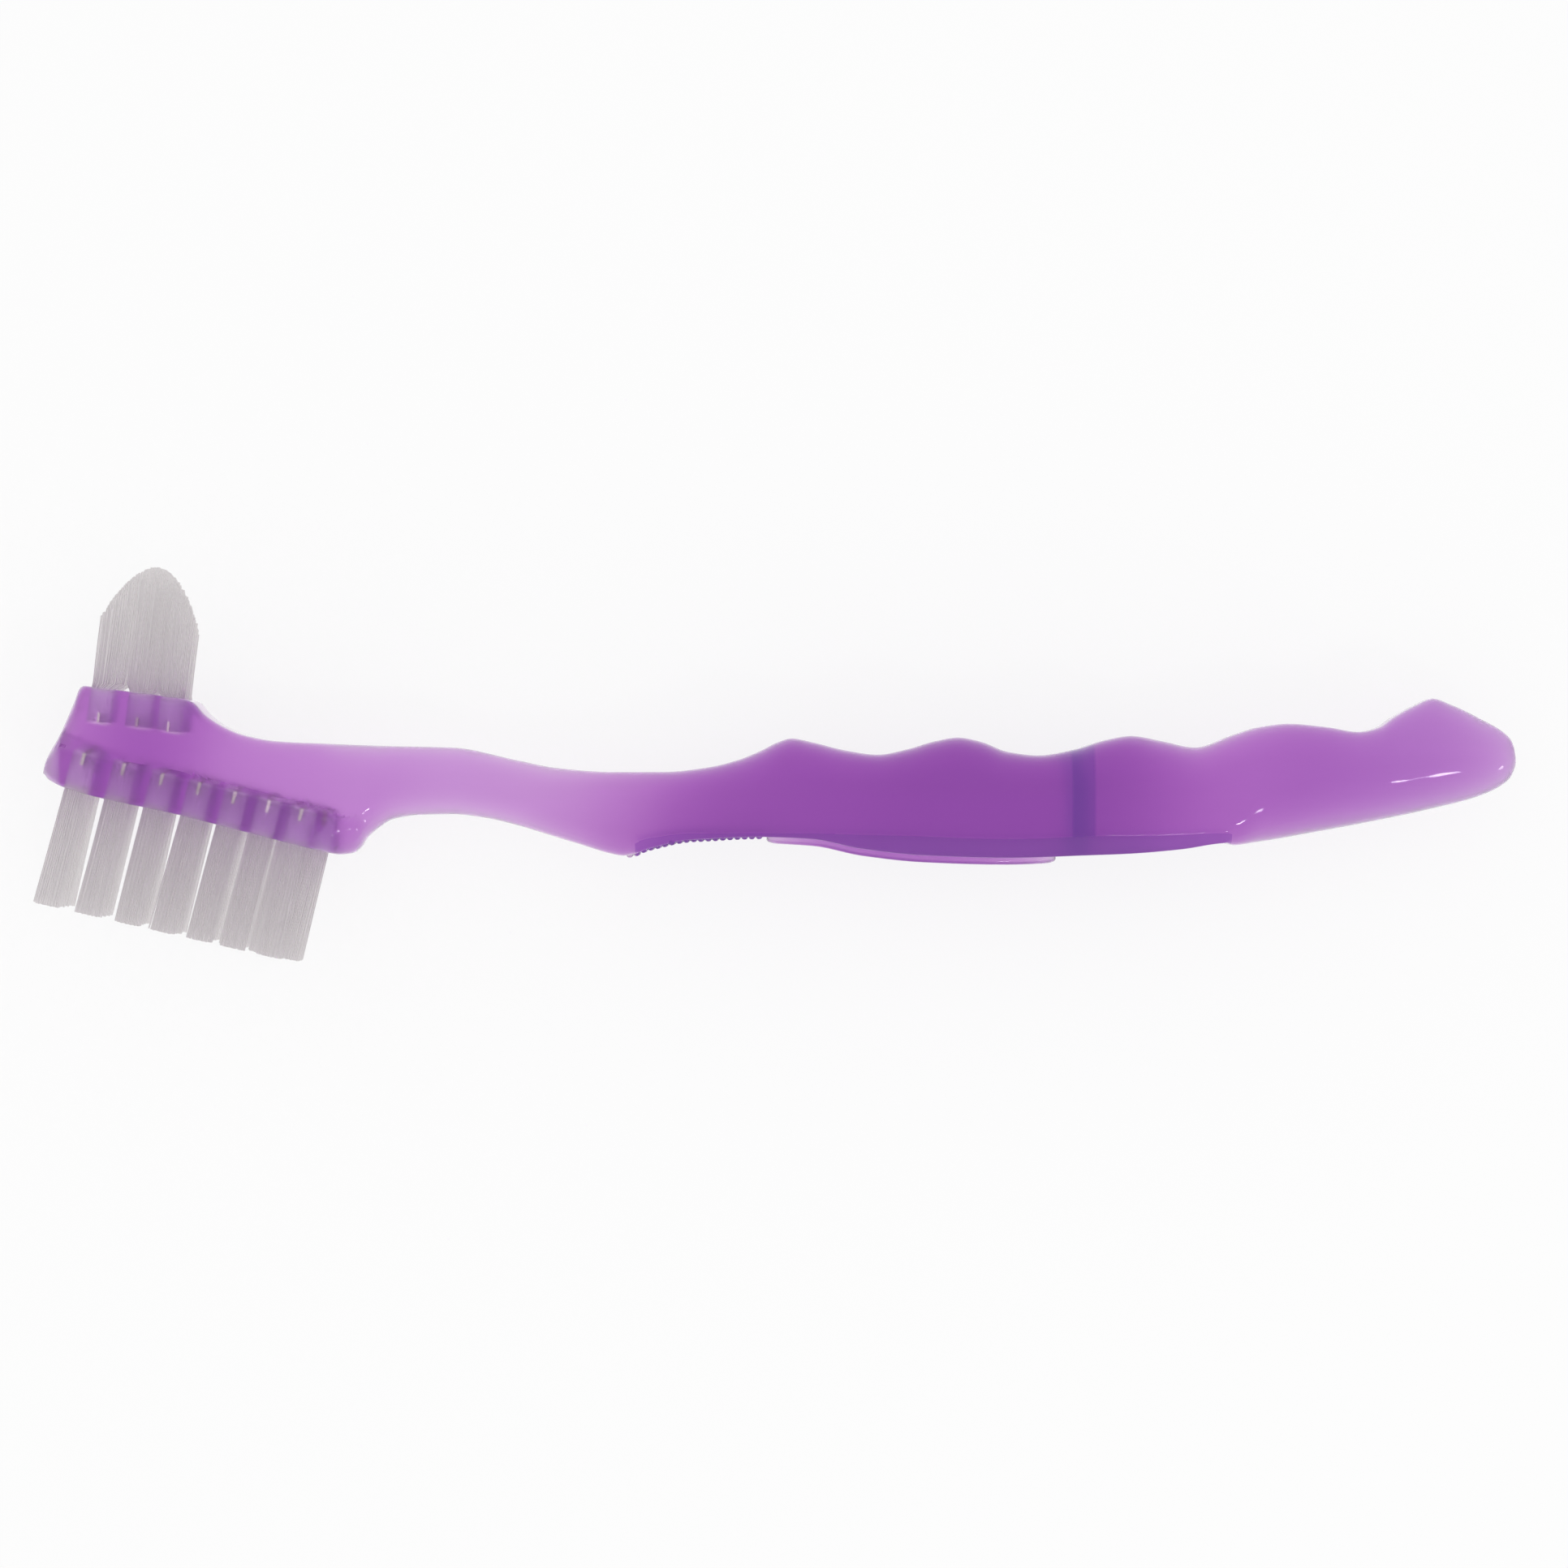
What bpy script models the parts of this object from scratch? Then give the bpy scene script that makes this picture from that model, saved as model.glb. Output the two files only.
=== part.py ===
# Denture brush, lying on its flank. One see-through plastic moulding makes the head,
# the neck, the waved grip and the tail. A wide, flat-trimmed brush stands on the head's
# lower face and a pointed brush on its upper face. Each tuft is a piece of its own,
# pushed into a blind hole with the metal strip that it is folded over.
#
# X runs along the handle towards the tail, Y across it towards the pointed brush, and
# Z up from the flank. The origin is on the flat flank of the grip. Sizes are in metres.

import math

import bmesh
import bpy
from mathutils import Matrix, Vector
from mathutils.geometry import delaunay_2d_cdt

# The moulding, zone by zone from the nose: lengths along X, heights along Y, widths along Z
HEAD_LENGTH = 0.0351
HEAD_HEIGHT = 0.0138
HEAD_WIDTH = 0.0158
TOWER_WIDTH = 0.0126
SPINE_WIDTH = 0.0088
NOSE_RISE = 0.0025
FACE_ANGLE = math.radians(14.4)
NECK_LENGTH = 0.0332
NECK_HEIGHT = 0.0080
NECK_WIDTH = 0.0076
NECK_RISE = 0.0022
GRIP_LENGTH = 0.0873
GRIP_HEIGHT = 0.0145
GRIP_WIDTH = 0.0180
TAIL_LENGTH = 0.0187
TAIL_HEIGHT = 0.0131
TAIL_WIDTH = 0.0130
TAIL_RISE = 0.0054

# Its long edges: round, but bevelled along the planed panel below the grip
HEAD_EDGE_RADIUS = 0.0008
NECK_EDGE_RADIUS = 0.0031
GRIP_TOP_EDGE_RADIUS = 0.0050
GRIP_LOW_EDGE_RADIUS = 0.0030
TAIL_TOP_EDGE_RADIUS = 0.0034
TAIL_LOW_EDGE_RADIUS = 0.0055
PANEL_BEVEL = 0.0018

# The raised oval pad on the planed panel
PAD_LENGTH = 0.0343
PAD_WIDTH = 0.0096
PAD_HEIGHT = 0.00085
PAD_EDGE = 0.0006

# The thumb rest on the same panel: small studs in staggered columns that fill an oval
THUMB_REST_LENGTH = 0.0160
THUMB_REST_WIDTH = 0.0126
STUD_DIAMETER = 0.0008
STUD_HEIGHT = 0.00035
STUD_COLUMN_PITCH = 0.00085
STUD_ROW_PITCH = 0.0017

# The tuft holes and what stands in them
HOLE_DIAMETER = 0.0029
HOLE_DEPTH = 0.0043
HOLE_FLOOR = 0.00015
PLATE_FILLET = 0.0010
HOLE_CLEARANCE = 0.0002
PLUG_RECESS = 0.0003
ANCHOR_LENGTH = 0.0022
ANCHOR_HEIGHT = 0.0012
ANCHOR_THICKNESS = 0.0003
STRAND_RADIUS = 0.00029
STRAND_GAP = 0.00005
TUFT_SPREAD = 0.0003

# The wide brush: rows along the head, each with its own count of columns
SIDE_WALL = 0.0012
ROW_WEB = 0.00045
WIDE_NOSE_SETBACK = 0.0046
OUTER_HEEL_SETBACK = 0.0050
OUTER_WEB = 0.0009
INNER_HEEL_SETBACK = 0.0029
INNER_WEB = 0.00025
WIDE_NOSE_BRISTLE = 0.0142
WIDE_HEEL_BRISTLE = 0.0135

# The pointed brush
TOWER_WALL = 0.0014
TIP_NOSE_SETBACK = 0.0075
TIP_FIELD_LENGTH = 0.0082
TIP_WEB = 0.0004
TIP_PEAK_BRISTLE = 0.0151
TIP_SHOULDER_BRISTLE = 0.0087
TIP_NOSE_REACH = 0.0059
TIP_HEEL_REACH = 0.0053
TIP_SIDE_REACH = 0.0080

# Counts, and how finely the moulding is drawn
HOLE_SIDES = 10
STRAND_SIDES = 3
STUD_SIDES = 6
CORNER_SEGMENTS = 4
FILLET_SEGMENTS = 3
STATION_STEP = 0.0024
LEAST_STATION_STEP = 0.0003
CUT_OVERRUN = 0.002
WELD_DISTANCE = 1e-9
JOIN_OVERLAP = 0.0012
SHARP_EDGE = math.radians(32)

# Where the origin lies along the grip
ORIGIN_SHARE = 0.425

# Outline points as (share of the zone's length, share of its height). The head's heights
# are counted from the face of the wide brush, the others from the zone's own middle line.
HEAD_TOP_SHARES = (
    (0.000, 0.063), (0.016, 0.179), (0.049, 0.362), (0.084, 0.574), (0.110, 0.735),
    (0.132, 0.868), (0.150, 0.888), (0.173, 0.895), (0.252, 0.921), (0.332, 0.947),
    (0.412, 0.973), (0.472, 0.993), (0.512, 0.990), (0.556, 0.901), (0.607, 0.845),
    (0.675, 0.814), (0.792, 0.835), (0.949, 0.919),
)
NECK_TOP_SHARES = ((0.166, 0.518), (0.401, 0.494), (0.637, 0.301), (0.770, 0.193), (0.971, 0.133))
GRIP_TOP_SHARES = (
    (0.061, 0.226), (0.116, 0.259), (0.158, 0.319), (0.191, 0.399), (0.213, 0.465),
    (0.232, 0.498), (0.259, 0.468), (0.306, 0.399), (0.348, 0.365), (0.390, 0.412),
    (0.424, 0.472), (0.457, 0.505), (0.487, 0.472), (0.524, 0.388), (0.565, 0.359),
    (0.613, 0.405), (0.657, 0.485), (0.691, 0.518), (0.734, 0.475), (0.779, 0.425),
    (0.833, 0.532), (0.866, 0.591), (0.905, 0.618), (0.955, 0.591), (1.000, 0.551),
)
TAIL_TOP_SHARES = (
    (0.124, 0.235), (0.216, 0.324), (0.356, 0.434), (0.474, 0.500), (0.582, 0.449),
    (0.799, 0.301), (0.918, 0.199), (0.975, 0.110), (1.000, 0.000),
)
HEAD_BOTTOM_SHARES = ((0.000, 0.030), (0.030, 0.000), (0.500, 0.000), (0.940, 0.000), (1.000, 0.000))
HEEL_BLEND_SHARES = ((0.156, 0.03), (0.260, 0.16), (0.354, 0.44), (0.479, 0.66), (0.677, 0.90))
NECK_BOTTOM_SHARES = (
    (0.279, -0.506), (0.401, -0.494), (0.520, -0.550), (0.637, -0.663), (0.747, -0.801),
    (0.858, -0.940), (0.971, -1.078),
)
GRIP_BOTTOM_SHARES = (
    (0.004, -0.458), (0.022, -0.440), (0.035, -0.405), (0.056, -0.372), (0.073, -0.346),
    (0.094, -0.326), (0.116, -0.319), (0.158, -0.306), (0.188, -0.302), (0.259, -0.319),
    (0.327, -0.399), (0.411, -0.452), (0.524, -0.472), (0.629, -0.452), (0.687, -0.439),
    (0.756, -0.405), (0.823, -0.352), (0.826, -0.372), (0.866, -0.346), (0.944, -0.266),
)
TAIL_BOTTOM_SHARES = (
    (0.098, -0.610), (0.459, -0.500), (0.799, -0.368), (0.954, -0.243), (1.000, -0.155),
)

# Half widths as (share of the zone's length, share of half its width)
HEAD_WIDTH_SHARES = (
    (0.00, 0.50), (0.03, 0.70), (0.08, 0.86), (0.14, 0.95), (0.24, 1.00), (0.88, 1.00), (0.97, 0.94),
)
TOWER_WIDTH_SHARES = (
    (0.00, 0.48), (0.05, 0.62), (0.12, 0.79), (0.17, 0.87), (0.26, 0.96), (0.34, 1.00), (0.46, 1.00),
    (0.54, 0.86), (0.66, 0.72), (0.90, 0.66),
)
NECK_WIDTH_SHARES = ((0.10, 1.26), (0.20, 1.14), (0.40, 1.00), (0.62, 1.00), (0.82, 1.12), (0.98, 1.40))
NECK_TOP_WIDTH_SHARES = ((0.10, 0.98), (0.40, 0.90), (0.62, 0.88), (0.82, 0.94), (0.98, 1.12))
GRIP_WIDTH_SHARES = (
    (0.040, 0.71), (0.085, 0.83), (0.150, 0.92), (0.300, 0.96), (0.420, 1.00), (0.630, 1.00),
    (0.680, 0.93), (0.745, 0.80), (0.810, 0.70), (0.860, 0.68), (0.930, 0.71),
)
GRIP_TOP_WIDTH_SHARES = (
    (0.040, 0.54), (0.085, 0.66), (0.150, 0.78), (0.300, 0.92), (0.420, 0.99), (0.630, 1.00),
    (0.680, 0.93), (0.745, 0.79), (0.810, 0.69), (0.860, 0.66), (0.930, 0.66),
)
TAIL_WIDTH_SHARES = (
    (0.10, 0.98), (0.30, 0.92), (0.50, 0.85), (0.70, 0.75), (0.88, 0.60), (0.96, 0.45), (1.00, 0.28),
)
TAIL_TOP_WIDTH_SHARES = (
    (0.10, 0.80), (0.30, 0.72), (0.50, 0.68), (0.70, 0.62), (0.88, 0.52), (0.96, 0.42), (1.00, 0.28),
)
# The spine stands on the plate that holds the wide brush. It swells into the tower and
# narrows to the neck, where the plate fades out
TOWER_SPINE_SHARES = (
    (0.000, 0.50), (0.093, 0.83), (0.203, 0.96), (0.290, 1.09), (0.341, 1.11), (0.395, 1.055), (0.504, 0.875),
)
PLATE_SPINE_SHARES = ((0.57, 1.12), (0.67, 1.05), (0.80, 1.00), (1.00, 0.95))
NECK_SPINE_SHARES = ((0.25, 0.88),)

# The bevel below the grip, as (share of the grip's length, share of the bevel)
PANEL_BEVEL_SHARES = (
    (0.022, 0.60), (0.094, 0.35), (0.188, 0.20), (0.259, 0.30), (0.327, 0.75), (0.411, 1.00),
    (0.629, 1.00), (0.745, 0.80), (0.823, 0.50),
)
# Edge radii as (share of the zone's length, share of the zone's edge radius)
HEAD_EDGE_SHARES = ((0.0, 1.0), (1.0, 1.0))
NECK_EDGE_SHARES = ((0.25, 0.9), (0.9, 1.0))
GRIP_EDGE_SHARES = ((0.15, 1.0), (0.80, 1.0))
TAIL_EDGE_SHARES = ((0.0, 1.0), (1.0, 1.0))
PAD_CENTRE_SHARE = 0.3945
TOWER_FACE_SHARES = (0.173, 0.472)
PAD_EDGE_SHARE = 0.82
THUMB_REST_SHARE = 0.1005
STUD_CROWN_SHARE = 0.6
LARGEST_FILLET_SHARE = 0.46

# How far each row's pitch shrinks from the nose to the heel
OUTER_TAPER_SHARE = 0.12
INNER_TAPER_SHARE = 0.25
TIP_TAPER_SHARE = 0.21
TIP_PEAK_SHARE = 0.51
TRIM_POWER = 1.9

# The turn from one tuft's strands to the next one's
TUFT_TURN = math.radians(137.5)

ORIGIN_TO_GRIP = -ORIGIN_SHARE * GRIP_LENGTH
GRIP = (ORIGIN_TO_GRIP, GRIP_LENGTH)
NECK = (GRIP[0] - NECK_LENGTH, NECK_LENGTH)
HEAD = (NECK[0] - HEAD_LENGTH, HEAD_LENGTH)
TAIL = (GRIP[0] + GRIP_LENGTH, TAIL_LENGTH)
MIDDLE = GRIP_WIDTH / 2


def place(zone, share):
    """X at a share of a zone's length."""
    start, length = zone
    return start + length * share


def spread(zone, shares, size, level=0.0):
    """A table of shares as points (X, level + share of size)."""
    return [(place(zone, along), level + share * size) for along, share in shares]


def face_height(x):
    """Y of the wide brush's face, a straight slope down from the nose."""
    return NOSE_RISE - (x - HEAD[0]) * math.tan(FACE_ANGLE)


def smooth(points, x):
    """A curve through the points that never overshoots them, read at x."""
    xs = [p[0] for p in points]
    ys = [p[1] for p in points]
    last = len(xs) - 1
    if x <= xs[0]:
        return ys[0]
    if x >= xs[last]:
        return ys[last]
    slopes = [(ys[i + 1] - ys[i]) / (xs[i + 1] - xs[i]) for i in range(last)]

    def tangent(i):
        if i in (0, last):
            return slopes[min(i, last - 1)]
        before, after = slopes[i - 1], slopes[i]
        if before * after <= 0:
            return 0.0
        left, right = xs[i] - xs[i - 1], xs[i + 1] - xs[i]
        first, second = 2 * right + left, right + 2 * left
        return (first + second) / (first / before + second / after)

    i = max(k for k in range(last) if xs[k] <= x)
    step = xs[i + 1] - xs[i]
    t = (x - xs[i]) / step
    rise = ys[i] * (1 + 2 * t) * (1 - t) ** 2 + ys[i + 1] * t * t * (3 - 2 * t)
    return rise + step * t * (1 - t) * (tangent(i) * (1 - t) - tangent(i + 1) * t)


def heel_points():
    """The hollow heel behind the wide brush, from the end of its face to the neck."""
    x0 = place(HEAD, 1)
    y0 = face_height(x0)
    x1 = place(NECK, NECK_BOTTOM_SHARES[0][0])
    y1 = NECK_RISE + NECK_BOTTOM_SHARES[0][1] * NECK_HEIGHT
    return [(x0 + (x1 - x0) * along, y0 + (y1 - y0) * up) for along, up in HEEL_BLEND_SHARES]


def over_face(shares):
    """Head points, whose heights are counted from the sloping face."""
    return [(x, face_height(x) + y) for x, y in spread(HEAD, shares, HEAD_HEIGHT)]


TOP = (
    over_face(HEAD_TOP_SHARES)
    + spread(NECK, NECK_TOP_SHARES, NECK_HEIGHT, NECK_RISE)
    + spread(GRIP, GRIP_TOP_SHARES, GRIP_HEIGHT)
    + spread(TAIL, TAIL_TOP_SHARES, TAIL_HEIGHT, TAIL_RISE)
)
BOTTOM = (
    over_face(HEAD_BOTTOM_SHARES)
    + heel_points()
    + spread(NECK, NECK_BOTTOM_SHARES, NECK_HEIGHT, NECK_RISE)
    + spread(GRIP, GRIP_BOTTOM_SHARES, GRIP_HEIGHT)
    + spread(TAIL, TAIL_BOTTOM_SHARES, TAIL_HEIGHT, TAIL_RISE)
)
BOTTOM_WIDTHS = (
    spread(HEAD, HEAD_WIDTH_SHARES, HEAD_WIDTH / 2)
    + spread(NECK, NECK_WIDTH_SHARES, NECK_WIDTH / 2)
    + spread(GRIP, GRIP_WIDTH_SHARES, GRIP_WIDTH / 2)
    + spread(TAIL, TAIL_WIDTH_SHARES, TAIL_WIDTH / 2)
)
TOP_WIDTHS = (
    spread(HEAD, TOWER_WIDTH_SHARES, TOWER_WIDTH / 2)
    + spread(NECK, NECK_TOP_WIDTH_SHARES, NECK_WIDTH / 2)
    + spread(GRIP, GRIP_TOP_WIDTH_SHARES, GRIP_WIDTH / 2)
    + spread(TAIL, TAIL_TOP_WIDTH_SHARES, TAIL_WIDTH / 2)
)
SPINE_WIDTHS = (
    spread(HEAD, TOWER_SPINE_SHARES, TOWER_WIDTH / 2)
    + spread(HEAD, PLATE_SPINE_SHARES, SPINE_WIDTH / 2)
    + spread(NECK, NECK_SPINE_SHARES, SPINE_WIDTH / 2)
)
FRONT_EDGES = (
    spread(HEAD, HEAD_EDGE_SHARES, HEAD_EDGE_RADIUS)
    + spread(NECK, NECK_EDGE_SHARES, NECK_EDGE_RADIUS)
)
TOP_EDGES = (
    FRONT_EDGES
    + spread(GRIP, GRIP_EDGE_SHARES, GRIP_TOP_EDGE_RADIUS)
    + spread(TAIL, TAIL_EDGE_SHARES, TAIL_TOP_EDGE_RADIUS)
)
BOTTOM_EDGES = (
    FRONT_EDGES
    + spread(GRIP, GRIP_EDGE_SHARES, GRIP_LOW_EDGE_RADIUS)
    + spread(TAIL, TAIL_EDGE_SHARES, TAIL_LOW_EDGE_RADIUS)
)
PANEL_BEVELS = spread(GRIP, PANEL_BEVEL_SHARES, PANEL_BEVEL)
PANEL_START = PANEL_BEVELS[0][0]
PANEL_END = PANEL_BEVELS[-1][0]
PLATE_END = SPINE_WIDTHS[-1][0]


def corner(before, at, after, radius, rounded):
    """Points that round a corner of a section off, or bevel it."""
    to_before, to_after = before - at, after - at
    reach = min(to_before.length, to_after.length) * LARGEST_FILLET_SHARE
    to_before.normalize()
    to_after.normalize()
    half = to_before.angle(to_after) / 2
    tangent = min(radius / math.tan(half), reach) if rounded else min(radius, reach)
    start, end = at + to_before * tangent, at + to_after * tangent
    if not rounded:
        return [start.lerp(end, i / CORNER_SEGMENTS) for i in range(CORNER_SEGMENTS + 1)]
    centre = at + (to_before + to_after).normalized() * (tangent / math.cos(half))
    spoke_a, spoke_b = start - centre, end - centre
    turn = spoke_a.angle_signed(spoke_b)
    return [centre + Matrix.Rotation(-turn * i / CORNER_SEGMENTS, 2) @ spoke_a
            for i in range(CORNER_SEGMENTS + 1)]


def ease(value):
    """0 to 1 with soft ends."""
    value = min(max(value, 0), 1)
    return value * value * (3 - 2 * value)


def plate_top(x):
    """Y of the top of the plate that holds the wide brush."""
    return face_height(x) + HOLE_DEPTH + HOLE_FLOOR


def half_width(x, y, low, high, bottom, top):
    """Half width of a section at a height. Along the head, a spine stands on the plate."""
    lean = low + (high - low) * (y - bottom) / (top - bottom)
    fade = ease((PLATE_END - x) / (PLATE_END - place(HEAD, 1)))
    over = y - plate_top(x)
    room = max(top - plate_top(x), PLATE_FILLET)
    spine = min(smooth(SPINE_WIDTHS, x), low)
    spine += (high - spine) * max(over / room, 0)
    stepped = low + (spine - low) * ease(over / PLATE_FILLET)
    return lean + (stepped - lean) * fade


def flank(x, low, high):
    """Points up one flank between its rounded ends, placed to follow the plate's fillet."""
    count = FILLET_SEGMENTS + 1
    least = 1 / (2 * count + 2)
    points = []
    for i in range(count):
        y = plate_top(x) + PLATE_FILLET * i / FILLET_SEGMENTS
        share = (y - low.y) / (high.y - low.y)
        points.append(low.lerp(high, min(max(share, least * (i + 1)), 1 - least * (count - i))))
    return points


def section(x):
    """One cross section of the moulding as points (Z from the middle plane, Y)."""
    top, bottom = smooth(TOP, x), smooth(BOTTOM, x)
    wide_top, wide_bottom = smooth(TOP_WIDTHS, x), smooth(BOTTOM_WIDTHS, x)
    panel = PANEL_START <= x <= PANEL_END
    above = smooth(TOP_EDGES, x)
    below = smooth(PANEL_BEVELS if panel else BOTTOM_EDGES, x)
    corners = [Vector((wide_top, top)), Vector((-wide_top, top)),
               Vector((-wide_bottom, bottom)), Vector((wide_bottom, bottom))]
    arcs = []
    for i, at in enumerate(corners):
        low = i > 1
        radius = below if low else above
        arcs.append(corner(corners[i - 1], at, corners[(i + 1) % len(corners)], radius, not (low and panel)))
    points = (arcs[0] + arcs[1] + flank(x, arcs[2][0], arcs[1][-1])[::-1]
              + arcs[2] + arcs[3] + flank(x, arcs[3][-1], arcs[0][0]))
    for p in points:
        lean = wide_bottom + (wide_top - wide_bottom) * (p.y - bottom) / (top - bottom)
        p.x *= half_width(x, p.y, wide_bottom, wide_top, bottom, top) / lean
    return points


def stations():
    """X of each cross section: at the outline's own points and at steps between them."""
    marks = sorted({x for table in (TOP, BOTTOM, BOTTOM_WIDTHS, PANEL_BEVELS) for x, _ in table})
    kept = [marks[0]]
    for x in marks[1:]:
        if x - kept[-1] < LEAST_STATION_STEP:
            continue
        steps = math.ceil((x - kept[-1]) / STATION_STEP)
        kept += [kept[-1] + (x - kept[-1]) * (i + 1) / steps for i in range(steps)]
    return kept


def make_object(name, mesh_builder, material=None, guide=False):
    """A named object from a bmesh. A guide is a cutter or a piece to be joined."""
    bmesh.ops.recalc_face_normals(mesh_builder, faces=mesh_builder.faces)
    mesh = bpy.data.meshes.new(name)
    mesh_builder.to_mesh(mesh)
    mesh_builder.free()
    mesh.shade_smooth()
    mesh.set_sharp_from_angle(angle=SHARP_EDGE)
    thing = bpy.data.objects.new(name, mesh)
    bpy.context.scene.collection.objects.link(thing)
    if material:
        mesh.materials.append(material)
    if guide:
        thing.hide_render = True
        thing.display_type = "WIRE"
    return thing


def skin(builder, rings):
    """Quads from ring to ring, closed by a flat cap at each end."""
    loops = [[builder.verts.new(p) for p in ring] for ring in rings]
    for one, other in zip(loops, loops[1:]):
        for i in range(len(one)):
            j = (i + 1) % len(one)
            builder.faces.new((one[i], one[j], other[j], other[i]))
    builder.faces.new(loops[0])
    builder.faces.new(loops[-1])


def moulding_blank(material):
    builder = bmesh.new()
    skin(builder, [[(x, y, MIDDLE + z) for z, y in section(x)] for x in stations()])
    return make_object("handle_moulding", builder, material)


def raised_pad():
    """The oval pad, lofted along the panel so that it follows the panel's curve."""
    centre = place(GRIP, PAD_CENTRE_SHARE)
    rings = []
    steps = math.ceil(PAD_LENGTH / STATION_STEP)
    for i in range(steps + 1):
        share = -math.cos(math.pi * (i + 1) / (steps + 2))
        x = centre + share * PAD_LENGTH / 2
        half = PAD_WIDTH / 2 * math.sqrt(1 - share * share)
        crown = half - min(PAD_EDGE, half * PAD_EDGE_SHARE)
        under = smooth(BOTTOM, x)
        inside, rim, lowest = under + JOIN_OVERLAP, under - PAD_HEIGHT / 2, under - PAD_HEIGHT
        rings.append([
            (x, inside, MIDDLE - half), (x, inside, MIDDLE + half), (x, rim, MIDDLE + half),
            (x, lowest, MIDDLE + crown), (x, lowest, MIDDLE - crown), (x, rim, MIDDLE - half),
        ])
    builder = bmesh.new()
    skin(builder, rings)
    return make_object("raised_pad", builder, guide=True)


def stud_places():
    """X and Z of each stud of the thumb rest."""
    columns = math.floor(THUMB_REST_LENGTH / STUD_COLUMN_PITCH)
    rows = math.floor(THUMB_REST_WIDTH / STUD_ROW_PITCH)
    for column in range(columns + 1):
        along = (column - columns / 2) * STUD_COLUMN_PITCH
        for row in range(rows + 1):
            across = (row - rows / 2 + column % 2 / 2) * STUD_ROW_PITCH
            if math.hypot(2 * along / THUMB_REST_LENGTH, 2 * across / THUMB_REST_WIDTH) <= 1:
                yield place(GRIP, THUMB_REST_SHARE) + along, MIDDLE + across


def thumb_studs():
    """The studs, each a short cone frustum that stands square to the panel."""
    builder = bmesh.new()
    for x, z in stud_places():
        foot = Vector((x, smooth(BOTTOM, x), z))
        ahead, behind = x + STUD_DIAMETER, x - STUD_DIAMETER
        run = Vector((ahead - behind, smooth(BOTTOM, ahead) - smooth(BOTTOM, behind), 0)).normalized()
        out = Vector((run.y, -run.x, 0))
        side = run.cross(out)
        rings = []
        for level in (-STUD_HEIGHT, STUD_HEIGHT):
            radius = STUD_DIAMETER / 2 * (1 - (1 - STUD_CROWN_SHARE) * level / STUD_HEIGHT)
            corners = ring_points(radius, STUD_SIDES)
            rings.append([foot + run * p.x + side * p.y + out * level for p in corners])
        skin(builder, rings)
    return make_object("thumb_studs", builder, guide=True)


def tapered_row(length, least, taper):
    """Places along a row whose pitch shrinks steadily, as many as leave the least pitch."""
    count = 1
    while length / (count + 1) * (1 - taper * (1 - 1 / (count + 1))) >= least:
        count += 1
    return [length * t * (1 + taper * (1 - t)) for t in (i / count for i in range(count + 1))]


def row_places(width, wall, web):
    """Places of the rows from the middle plane, as many as fit between the side walls."""
    room = width - 2 * wall - HOLE_DIAMETER
    count = max(1, math.floor(room / (HOLE_DIAMETER + web)))
    return [room * (i / count - 1 / 2) for i in range(count + 1)]


def wide_seats():
    """Name, foot, direction and bristle length of each tuft of the wide brush."""
    run = Vector((math.cos(FACE_ANGLE), -math.sin(FACE_ANGLE), 0))
    out = Vector((-run.y, run.x, 0)) * -1
    first = place(HEAD, 0) + WIDE_NOSE_SETBACK
    full = (place(HEAD, 1) - INNER_HEEL_SETBACK - first) / run.x
    rows = row_places(HEAD_WIDTH, SIDE_WALL, ROW_WEB)
    for r, z in enumerate(rows):
        outer = r in (0, len(rows) - 1)
        setback = OUTER_HEEL_SETBACK if outer else INNER_HEEL_SETBACK
        web = OUTER_WEB if outer else INNER_WEB
        taper = OUTER_TAPER_SHARE if outer else INNER_TAPER_SHARE
        length = (place(HEAD, 1) - setback - first) / run.x
        for c, s in enumerate(tapered_row(length, HOLE_DIAMETER + web, taper)):
            foot = Vector((first, face_height(first), MIDDLE + z)) + run * s
            long = WIDE_NOSE_BRISTLE + (WIDE_HEEL_BRISTLE - WIDE_NOSE_BRISTLE) * s / full
            yield f"wide_brush_tuft_r{r + 1}_c{c + 1}", foot, run, out, (lambda a, b, long=long: long)


def tip_seats():
    """The same for the pointed brush, whose bristles are trimmed to a dome with a peak."""
    ends = [Vector((x, smooth(TOP, x), 0)) for x in (place(HEAD, share) for share in TOWER_FACE_SHARES)]
    run = (ends[1] - ends[0]).normalized()
    out = Vector((-run.y, run.x, 0))
    start = place(HEAD, 0) + TIP_NOSE_SETBACK
    peak = TIP_FIELD_LENGTH * TIP_PEAK_SHARE
    drop = TIP_PEAK_BRISTLE - TIP_SHOULDER_BRISTLE

    for r, z in enumerate(row_places(TOWER_WIDTH, TOWER_WALL, TIP_WEB)):
        for c, s in enumerate(tapered_row(TIP_FIELD_LENGTH, HOLE_DIAMETER + TIP_WEB, TIP_TAPER_SHARE)):
            foot = ends[0] + run * ((start - ends[0].x) / run.x + s)
            foot.z = MIDDLE + z

            def trim(a, b, s=s, z=z):
                along = s + a - peak
                reach = TIP_HEEL_REACH if along > 0 else TIP_NOSE_REACH
                off = math.hypot(along / reach, (z + b) / TIP_SIDE_REACH)
                return TIP_PEAK_BRISTLE - drop * off ** TRIM_POWER

            yield f"pointed_brush_tuft_r{r + 1}_c{c + 1}", foot, run, out, trim


def ring_points(radius, count, turn=0.0):
    """Points of a regular polygon."""
    angles = (turn + math.tau * i / count for i in range(count))
    return [Vector((radius * math.cos(a), radius * math.sin(a))) for a in angles]


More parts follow.
